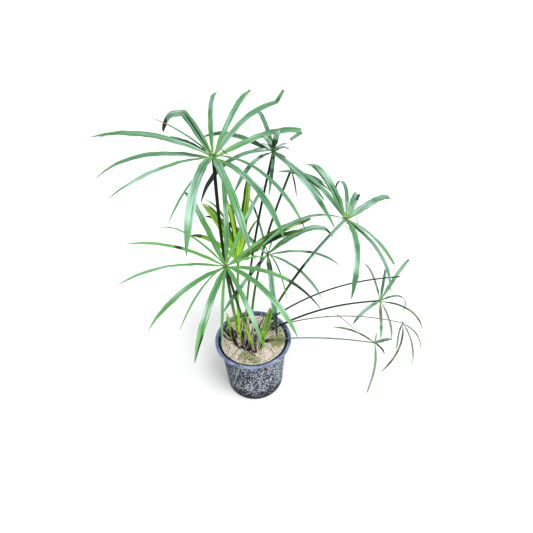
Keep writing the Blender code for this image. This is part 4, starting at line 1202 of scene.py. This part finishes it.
sowSoil()
print("grains and moss sown")


# dried sheaths round the culms' feet, and litter

sheathShape = {"sides": 20, "cuts": 9, "thickness": 0.35 * mm, "sunk": 2, "stubWidths": (2.4, 3.2)}


def modelSheath():  # a papery tube, 1 high and 1 in radius at the foot, with a slanting torn mouth
    bpy.ops.object.select_all(action="DESELECT")
    bpy.ops.mesh.primitive_cone_add(vertices=sheathShape["sides"], radius1=1.15, radius2=0.85, depth=1,
                                    end_fill_type="NOTHING", location=(0, 0, 0.5))
    master = fresh("sheathMaster")
    with editing():
        pick(master, "edges", lambda edge: abs(edge.verts[0].co.z - edge.verts[1].co.z) > 0.5)
        bpy.ops.mesh.subdivide(number_cuts=sheathShape["cuts"])
    for vert in master.data.vertices:
        angle = math.atan2(vert.co.y, vert.co.x)
        mouth = 0.55 + 0.45 * abs(math.cos(angle / 2)) ** 3 + 0.05 * math.sin(5 * angle)
        vert.co.z *= mouth
        flare = 1 + 0.12 * math.sin(3 * angle + 4 * vert.co.z) + 0.25 * max(0, vert.co.z / mouth - 0.8)
        vert.co.x *= flare
        vert.co.y *= flare
    return master


sheathMaster = modelSheath()
sheaths = {  # foot name: how many, radius and height in millimetres, and the husk
    "culm_top": (3, 2.9, 42, darkHusk), "culm_front": (2, 3.0, 26, paleHusk),
    "culm_rear": (3, 3.0, 38, darkHusk), "culm_right": (3, 2.9, 34, darkHusk),
    "culm_middle": (2, 2.8, 30, paleHusk), "culm_young": (2, 4.2, 34, paleHusk),
    "culm_back": (2, 3.0, 32, darkHusk), "culm_low_right": (2, 2.6, 26, paleHusk),
    "culm_lowest": (2, 2.5, 22, darkHusk), "culm_dry": (1, 1.9, 18, darkHusk),
    "culm_bare": (2, 2.3, 26, darkHusk)}
stubs = [  # x, y and height in millimetres
    (-38, 6, 34), (-25, 8, 30), (-12, 4, 26), (-14, 20, 40), (-4, -14, 20), (6, 2, 32), (12, -18, 26),
    (-36, -14, 18), (16, 26, 36), (4, 30, 30), (-28, 24, 34), (20, -26, 16), (-6, -2, 24), (-20, -6, 18)]


def standSheath(name, chance, foot, way, wide, tall):
    piece = copyOf(sheathMaster, name)
    piece.data.transform(Matrix.Translation(onGround(*foot, -sheathShape["sunk"]))
                         @ way.to_track_quat("Z", "Y").to_matrix().to_4x4()
                         @ Matrix.Rotation(chance.uniform(*anyTurn), 4, "Z")
                         @ Matrix.Diagonal((wide, wide, tall, 1)))
    return piece


def wrapSheaths():
    chance = random.Random("sheaths")
    groups = {darkHusk: [], paleHusk: []}
    for name, (count, radius, height, husk) in sheaths.items():
        ground, collar = culmPath(culms[name])[1:3]
        lean = (collar - ground).normalized()
        for i in range(count):
            wide = radius * mm * (1 + 0.22 * i)
            tall = height * mm * chance.uniform(0.7, 1.05) * (1 - 0.25 * i)
            aside = Vector((chance.uniform(-0.08, 0.08), chance.uniform(-0.08, 0.08), 0))
            way = up * (0.6 + 0.4 * i) + lean + aside
            groups[husk].append(standSheath(f"{name}Sheath{i}", chance, culms[name]["foot"], way, wide, tall))
    for i, (x, y, tall) in enumerate(stubs):
        way = Vector((chance.uniform(-0.25, 0.25), chance.uniform(-0.25, 0.25), 1))
        for layer, wide in enumerate(sheathShape["stubWidths"]):
            piece = standSheath(f"stubSheath{i}{layer}", chance, (x, y), way, wide * mm,
                                tall * mm * (0.8 - 0.3 * layer))
            groups[darkHusk if (i + layer) % 3 else paleHusk].append(piece)
    for name, husk in (("darkSheaths", darkHusk), ("paleSheaths", paleHusk)):
        whole = joined(name, groups[husk])
        whole.data.materials.append(husk)
        thicken(whole, sheathShape["thickness"])
        smooth(whole, 60)
        belongs(whole, "dry_straw")


wrapSheaths()
print("sheaths wrapped")


def onSoil(points, lift=0.8):  # given points, laid on the soil; a third number lifts one
    return [onGround(x, y, extra[0] if extra else lift) for x, y, *extra in points]


def throughFour(before, a, b, after, t):  # a smooth curve from a to b that also looks at their neighbours
    return 0.5 * (2 * a + (b - before) * t + (2 * before - 5 * a + 4 * b - after) * t * t
                  + (3 * a - before - 3 * b + after) * t ** 3)


strips = {  # dried leaves and sheath strips that lie on the soil: width, dryness colour and route
    "driedLeafA": (5, "dark", [(-74, 34, 7), (-65, 23, 3), (-54, 10), (-46, 2), (-40, -3)]),
    "driedLeafB": (3.5, "dark", [(-75, 17, 5), (-66, 9, 2), (-55, 1), (-44, -5)]),
    "driedLeafC": (4, "dark", [(-58, 42, 6), (-48, 30, 3), (-40, 18), (-34, 10)]),
    "driedLeafD": (3.5, "dark", [(53, 52, 7), (46, 46, 4), (38, 41), (28, 30)]),
    "driedLeafE": (3, "dark", [(54, 46, 6), (44, 35, 3), (33, 26), (24, 18)]),
    "driedLeafF": (3, "dark", [(26, 63, 6), (20, 55, 3), (14, 47), (8, 38)]),
    "driedLeafG": (5, "dark",
                   [(-44, -14, 3), (-34, -22, 2), (-24, -26, 3), (-12, -32, 3), (-2, -42, 2), (6, -50, 1)]),
    "driedLeafH": (6, "dark", [(-58, 22, 10), (-50, 8, 6), (-44, -4, 3), (-38, -16, 1)]),
    "driedLeafI": (4, "dark", [(-30, -20, 5), (-18, -30, 4), (-6, -34, 5), (4, -42, 2)]),
    "paleStripA": (4, "pale", [(-31, -13, 1), (-25, -11, 3), (-19, -11, 3), (-13, -13, 2), (-9, -16)]),
    "paleStripB": (4, "pale", [(-9, -31, 1), (-5, -37, 2.5), (-1, -41, 2), (6, -46)]),
    "paleStripC": (3.5, "pale", [(-2, -30, 2), (6, -36, 3), (14, -40, 2)]),
    "paleStripD": (3, "pale", [(26, 4, 1), (38, 2, 2), (50, 4, 1), (60, 8)]),
}
standing = [  # torn sheaths between the culms' feet: foot (x, y), tip (x, y, z), width, dry colour
    (-43, -10, -49, -6, 196, 4, "dark"), (-38, -17, -38, -13, 192, 4, "dark"),
    (-33, -17, -32, -13, 182, 3, "pale"), (-28, -20, -30, -16, 186, 4.5, "dark"),
    (-24, -20, -22, -16, 196, 3.5, "dark"), (-21, -23, -16, -19, 180, 3, "pale"),
    (-16, -27, -18, -23, 190, 4, "dark"), (-12, -30, -11, -26, 184, 4.5, "pale"),
    (-9, -30, -3, -26, 205, 3, "pale"), (-5, -33, -4, -29, 186, 4, "dark"),
    (0, -36, 0, -32, 180, 4, "pale"), (1, -39, 6, -35, 188, 3, "pale"), (4, -39, 3, -35, 172, 4, "dark"),
    (8, -40, 11, -36, 200, 4, "dark"), (11, -37, 17, -33, 178, 3, "pale"),
    (13, -34, 22, -30, 188, 3.5, "dark"), (-24, 0, -25, 4, 200, 4, "dark"), (-15, 0, -7, 4, 196, 3, "pale"),
    (-3, 0, 1, 3, 182, 3, "dark"), (6, 0, 6, 3, 192, 3, "pale"), (16, 5, 22, 9, 186, 3, "pale"),
    (-41, 1, -43, 5, 196, 3, "pale"), (20, -1, 29, 2, 180, 3, "dark"), (-7, -18, 0, -14, 182, 3, "pale"),
    (-31, -8, -20, -4, 200, 3, "pale"), (1, -18, 8, -14, 176, 3.5, "dark"),
    (-45, -8, -62, 6, 178, 5, "dark"), (-40, -14, -52, 8, 184, 4, "dark"),
    (-30, -22, -42, -8, 170, 4, "pale"), (-20, -28, -8, -14, 172, 4, "dark"),
    (-14, -32, -24, -12, 168, 3, "pale"), (-4, -36, -12, -18, 170, 3.5, "dark"),
    (6, -40, 16, -20, 168, 3, "pale"), (10, -38, -2, -24, 174, 3.5, "pale"),
]
twigs = {  # thin stalks: radius, skin and route
    "twigA": (0.55, "blackCulm",
              [(-22, -19, 4), (-28, -24, 5), (-34, -30, 5), (-41, -37, 3.5), (-47, -47, 2), (-52, -56, 1)]),
    "twigB": (0.45, "blackCulm", [(-46, -10), (-34, -18, 2), (-24, -22, 2), (-12, -24, 1)]),
    "twigC": (0.5, "dryCulm", [(8, 20, 12), (20, 32, 16), (32, 46, 18), (40, 58, 17)]),
    "twigD": (0.45, "dryCulm", [(20, -2, 3), (34, -5, 2), (50, -4, 2), (62, 0, 2)]),
    "twigE": (0.4, "blackCulm", [(40, -30), (46, -38, 2), (48, -46)]),
}


def smoothRoute(points, steps):
    route = [points[0]]
    for i in range(len(points) - 1):
        near = [points[min(len(points) - 1, max(0, i + offset))] for offset in (-1, 0, 1, 2)]
        route += [throughFour(*near, step / steps) for step in range(1, steps + 1)]
    return route


def layLitter():
    chance = random.Random("litter")
    groups = {"dark": [], "pale": []}

    def layStrip(colour, name, points, width, traits, rolls=None):  # bare: its husk comes with the group's
        piece = layBlade(name, points, width * mm, traits, waxyLeaf, rolls, stripMaster)
        piece.data.materials.clear()
        groups[colour].append(piece)

    steps = 5
    for name, (width, colour, points) in strips.items():
        route = smoothRoute(onSoil(points), steps)
        rolls = [chance.uniform(-35, 35) for _ in points]
        rolls = [rolls[min(len(rolls) - 1, i // steps)] * 0.5 for i in range(len(route))]
        layStrip(colour, name, route, width, {"wave": 0.3, "tip": 0.2}, rolls)
    count = 12
    for i, (fx, fy, tx, ty, tz, width, colour) in enumerate(standing):
        foot, top = onGround(fx, fy, -3), Vector((tx, ty, tz)) * mm
        curl = Vector((chance.uniform(-4, 4), chance.uniform(-4, 4), 0)) * mm
        points = [foot.lerp(top, k / count) + curl * math.sin(math.pi * k / count) for k in range(count + 1)]
        layStrip(colour, f"standing{i}", points, width, {"wave": 0.25, "tip": 0.15},
                 [chance.uniform(-40, 40)] * (count + 1))
    for i in range(90):  # loose scraps
        (x, y), = scatter(chance, 1, lambda x, y: math.hypot(x, y) < soilEdge - 6 * mm)
        angle, length = chance.uniform(*anyTurn), chance.uniform(3, 11)
        dx, dy = math.cos(angle) * length / 4, math.sin(angle) * length / 4
        route = [(x / mm + dx * k, y / mm + dy * k, 0.6 + 0.5 * math.sin(k)) for k in range(5)]
        layStrip("dark" if i % 3 == 0 else "pale", f"scrap{i}", onSoil(route), chance.uniform(0.7, 1.8),
                 {"tip": 0.3})
    for colour, husk in (("dark", darkHusk), ("pale", paleHusk)):
        whole = joined(colour + "Litter", groups[colour])
        whole.data.materials.append(husk)
        belongs(whole, "dry_straw")
    stalks = []
    for name, (radius, skin, points) in twigs.items():
        radii = [radius * mm * (1 - 0.4 * i / len(points)) for i in range(len(points))]
        stalks.append(rod(name, onSoil(points), radii, skin))
    whole = joined("fallenTwigs", stalks)
    smooth(whole, 60)
    belongs(whole, "dry_straw")


layLitter()
print("litter laid")


# young shoots: broad folded leaves, still rolled round each other

shootLeaves = {  # node: leaves as (foot x, y, top x, y, z, width, tone, roll, dark, dry); the dark stretches are painted shade
    "shoot_left": [(-47, -6, -56, 2, 231, 7.5, 0.8, 20, (), [(0.97, 1.1, 0.9)]),
                   (-49, -5, -58, 4, 215, 5, -0.7, -30, [(0.1, 0.9, 0.5)], ())],
    "shoot_right": [(13, -34, 43, -14, 258, 12, 0.1, 8, [(0.45, 0.85, 0.35)], [(0.92, 1.1, 0.9)]),
                    (17, -35, 47, -13, 254, 9, 0.9, -25, (), [(0.93, 1.1, 0.9)]),
                    (14, -36, 33, -22, 200, 7, 1.0, 30, (), [(0.95, 1.1, 0.9)])],
}


def growShoots():
    count = 24
    for node, leaves in shootLeaves.items():
        pieces = []
        for i, (fx, fy, tx, ty, tz, width, tone, roll, dark, dry) in enumerate(leaves):
            foot, top = onGround(fx, fy, -6), Vector((tx, ty, tz)) * mm
            points = [foot.lerp(top, k / count) + Vector((0, 0.004 * math.sin(math.pi * k / count), 0))
                      for k in range(count + 1)]
            traits = {"tone": tone, "dark": dark, "dry": dry, "tip": 0.3 if node == "shoot_right" else 0.12}
            rolls = [roll] * (count + 1)
            pieces.append(layBlade(f"{node}Leaf{i}", points, width * mm, traits, youngLeaf, rolls))
        belongs(joined(node + "Leaves", pieces), "young_green", node)


growShoots()
print("shoots grown")


# small things: loose threads, the strip over the rim, the dry twig's branch, and the pot's drain hole, a
# black plug of painted shade with a painted glint

looseThreads = {  # dried threads and scraps caught in the crowns: radius, skin and route
    "threadA": (0.8, "paleCulm",
                [(174, -20, 523), (182, -20, 515), (189, -20, 506), (202, -20, 488), (207, -20, 475),
                 (210, -20, 453)]),
    "threadB": (0.7, "dryCulm", [(183, -20, 478), (193, -20, 466), (204, -20, 455)]),
    "threadC": (0.7, "paleCulm", [(182, -20, 473), (190, -20, 462), (198, -20, 452)]),
    "threadD": (0.6, "dryCulm", [(185, -20, 480), (199, -20, 470), (209, -20, 462)]),
    "threadE": (1.0, "blackCulm", [(128, -4, 391), (143, -4, 417), (161, -4, 439)]),
    "threadF": (0.8, "dryCulm", [(-30, -24, 622), (-25, -22, 617), (-20, -24, 612)]),
    "threadG": (0.8, "dryCulm", [(-37, -24, 606), (-31, -24, 601), (-26, -26, 594)]),
}
rimStrip = {"over": [(-20, -62, 141), (-23, -72, 150), (-25.5, -82, 152), (-29, -88.5, 149)],
            "down": [(-112, 138), (-117, 112), (-123, 86), (-131, 56), (-139, 30), (-146, 10)]}
dryBranch = {"route": [(201, 30, 186), (212, 30, 176), (222, 30, 168), (241, 30, 139), (262, 30, 128)],
             "radii": (0.9, 0.9, 0.8, 0.7, 0.5)}
drain = {  # the moulded hole, a black plug whose dark is painted shade, and a pale flake at its side that is a painted glint: azimuth, height, width and length
    "drainHole": (-69.1, 123, 3, 6), "paintedGlint": (-65.8, 126, 2.3, 3.4)}


def wallPlug(name, azimuth, height, wide, tall, skin):  # an oval plug in the wall
    turn, reach = math.radians(azimuth), wallRadius(height * mm) + 0.2 * mm
    bpy.ops.object.select_all(action="DESELECT")
    bpy.ops.mesh.primitive_uv_sphere_add(segments=24, ring_count=12, radius=1)
    plug = fresh(name)
    plug.data.transform(Matrix.Translation(around(reach, turn, height * mm))
                        @ Matrix.Rotation(turn, 4, "Z")
                        @ Matrix.Diagonal((0.6 * mm, wide * mm, tall * mm, 1)))
    paint(plug, "along", lambda co: 0)
    plug.data.materials.append(skin)
    smooth(plug, 60)
    belongs(plug, "pot_plastic")


def growOddments():
    points = [Vector(place) * mm for place in rimStrip["over"]]
    for angle, height in rimStrip["down"]:
        points.append(around(wallRadius(height * mm) + 2.2 * mm, math.radians(angle), height * mm))
    strip = layBlade("rimStrip", points, 1.9 * mm, {"bloom": [(-0.3, 1.3, 0.75)], "tip": 0.4}, waxyLeaf)
    belongs(strip, "dry_straw")
    branch = rod("dryBranch", [Vector(place) * mm for place in dryBranch["route"]],
                 [radius * mm for radius in dryBranch["radii"]], "dryCulm")
    threads = [rod(name, [Vector(place) * mm for place in route], [radius * mm] * len(route), skin)
               for name, (radius, skin, route) in looseThreads.items()]
    for piece in (branch, joined("looseThreads", threads)):
        smooth(piece, 60)
        belongs(piece, "dry_straw")
    # painted shade: a black plug for the hole's shaded inside; painted glint: a pale flake at its edge
    wallPlug("drainHole", *drain["drainHole"], stems["blackCulm"])
    wallPlug("paintedGlint", *drain["paintedGlint"], spikeletScale)


growOddments()
for master in (bladeMaster, stripMaster, stemMaster, rayMaster, spikeletMaster, sheathMaster):
    bpy.data.objects.remove(master)
print("oddments placed")


# floor, light and camera

studio = {
    "floor": 60, "camera": (0.037, -0.645, 0.866), "pitch": 38, "roll": -1.8,
    "focalPixels": 400, "widthPixels": 533, "sensor": 36, "sees": (0.01, 100),
    "sunFrom": (0.55, -0.75, 2.2), "sunWidth": 24, "sunPower": 2.2, "sky": "#fbfdff", "skyPower": 0.8,
    "paper": "#f7f7f5",
}


def setStage():
    bpy.ops.object.select_all(action="DESELECT")
    bpy.ops.mesh.primitive_plane_add(size=studio["floor"], location=(0, 0, 0))
    floor = fresh("studioFloor")
    paper, tree, shader = newMaterial("mattPaper", Base_Color=linear(studio["paper"]), Roughness=0.9)
    body = addNode(tree, "TexCoord").outputs["Object"]
    tooth = addNode(tree, "TexNoise", {"Vector": body, "Scale": 1 / (4 * mm)})
    bump = addNode(tree, "Bump", {"Height": tooth.outputs[0], "Strength": 0.05, "Distance": 0.2 * mm})
    tree.links.new(bump.outputs[0], shader.inputs["Normal"])
    floor.data.materials.append(paper)
    bpy.ops.object.light_add(type="SUN", location=studio["sunFrom"])
    sun = bpy.context.object
    sun.name = "softSun"
    sun.data.angle, sun.data.energy = math.radians(studio["sunWidth"]), studio["sunPower"]
    sun.rotation_euler = Vector(studio["sunFrom"]).to_track_quat("Z", "Y").to_euler()
    world = bpy.data.worlds.new("softSky")
    world.use_nodes = True
    sky = world.node_tree.nodes["Background"].inputs
    sky[0].default_value, sky[1].default_value = linear(studio["sky"]), studio["skyPower"]
    bpy.context.scene.world = world
    bpy.ops.object.camera_add(location=studio["camera"])
    camera = bpy.context.object
    pitch, roll = math.radians(studio["pitch"]), math.radians(studio["roll"])
    level = Vector((0, math.sin(pitch), math.cos(pitch)))
    right = math.cos(roll) * Vector((1, 0, 0)) + math.sin(roll) * level
    upward = -math.sin(roll) * Vector((1, 0, 0)) + math.cos(roll) * level
    back = right.cross(upward)
    camera.rotation_euler = Matrix((right, upward, back)).transposed().to_euler()
    camera.data.sensor_width = studio["sensor"]
    camera.data.lens = studio["focalPixels"] / studio["widthPixels"] * studio["sensor"]
    camera.data.clip_start, camera.data.clip_end = studio["sees"]
    bpy.context.scene.camera = camera
    bpy.context.scene.view_settings.view_transform = "Standard"


setStage()
print("stage set")
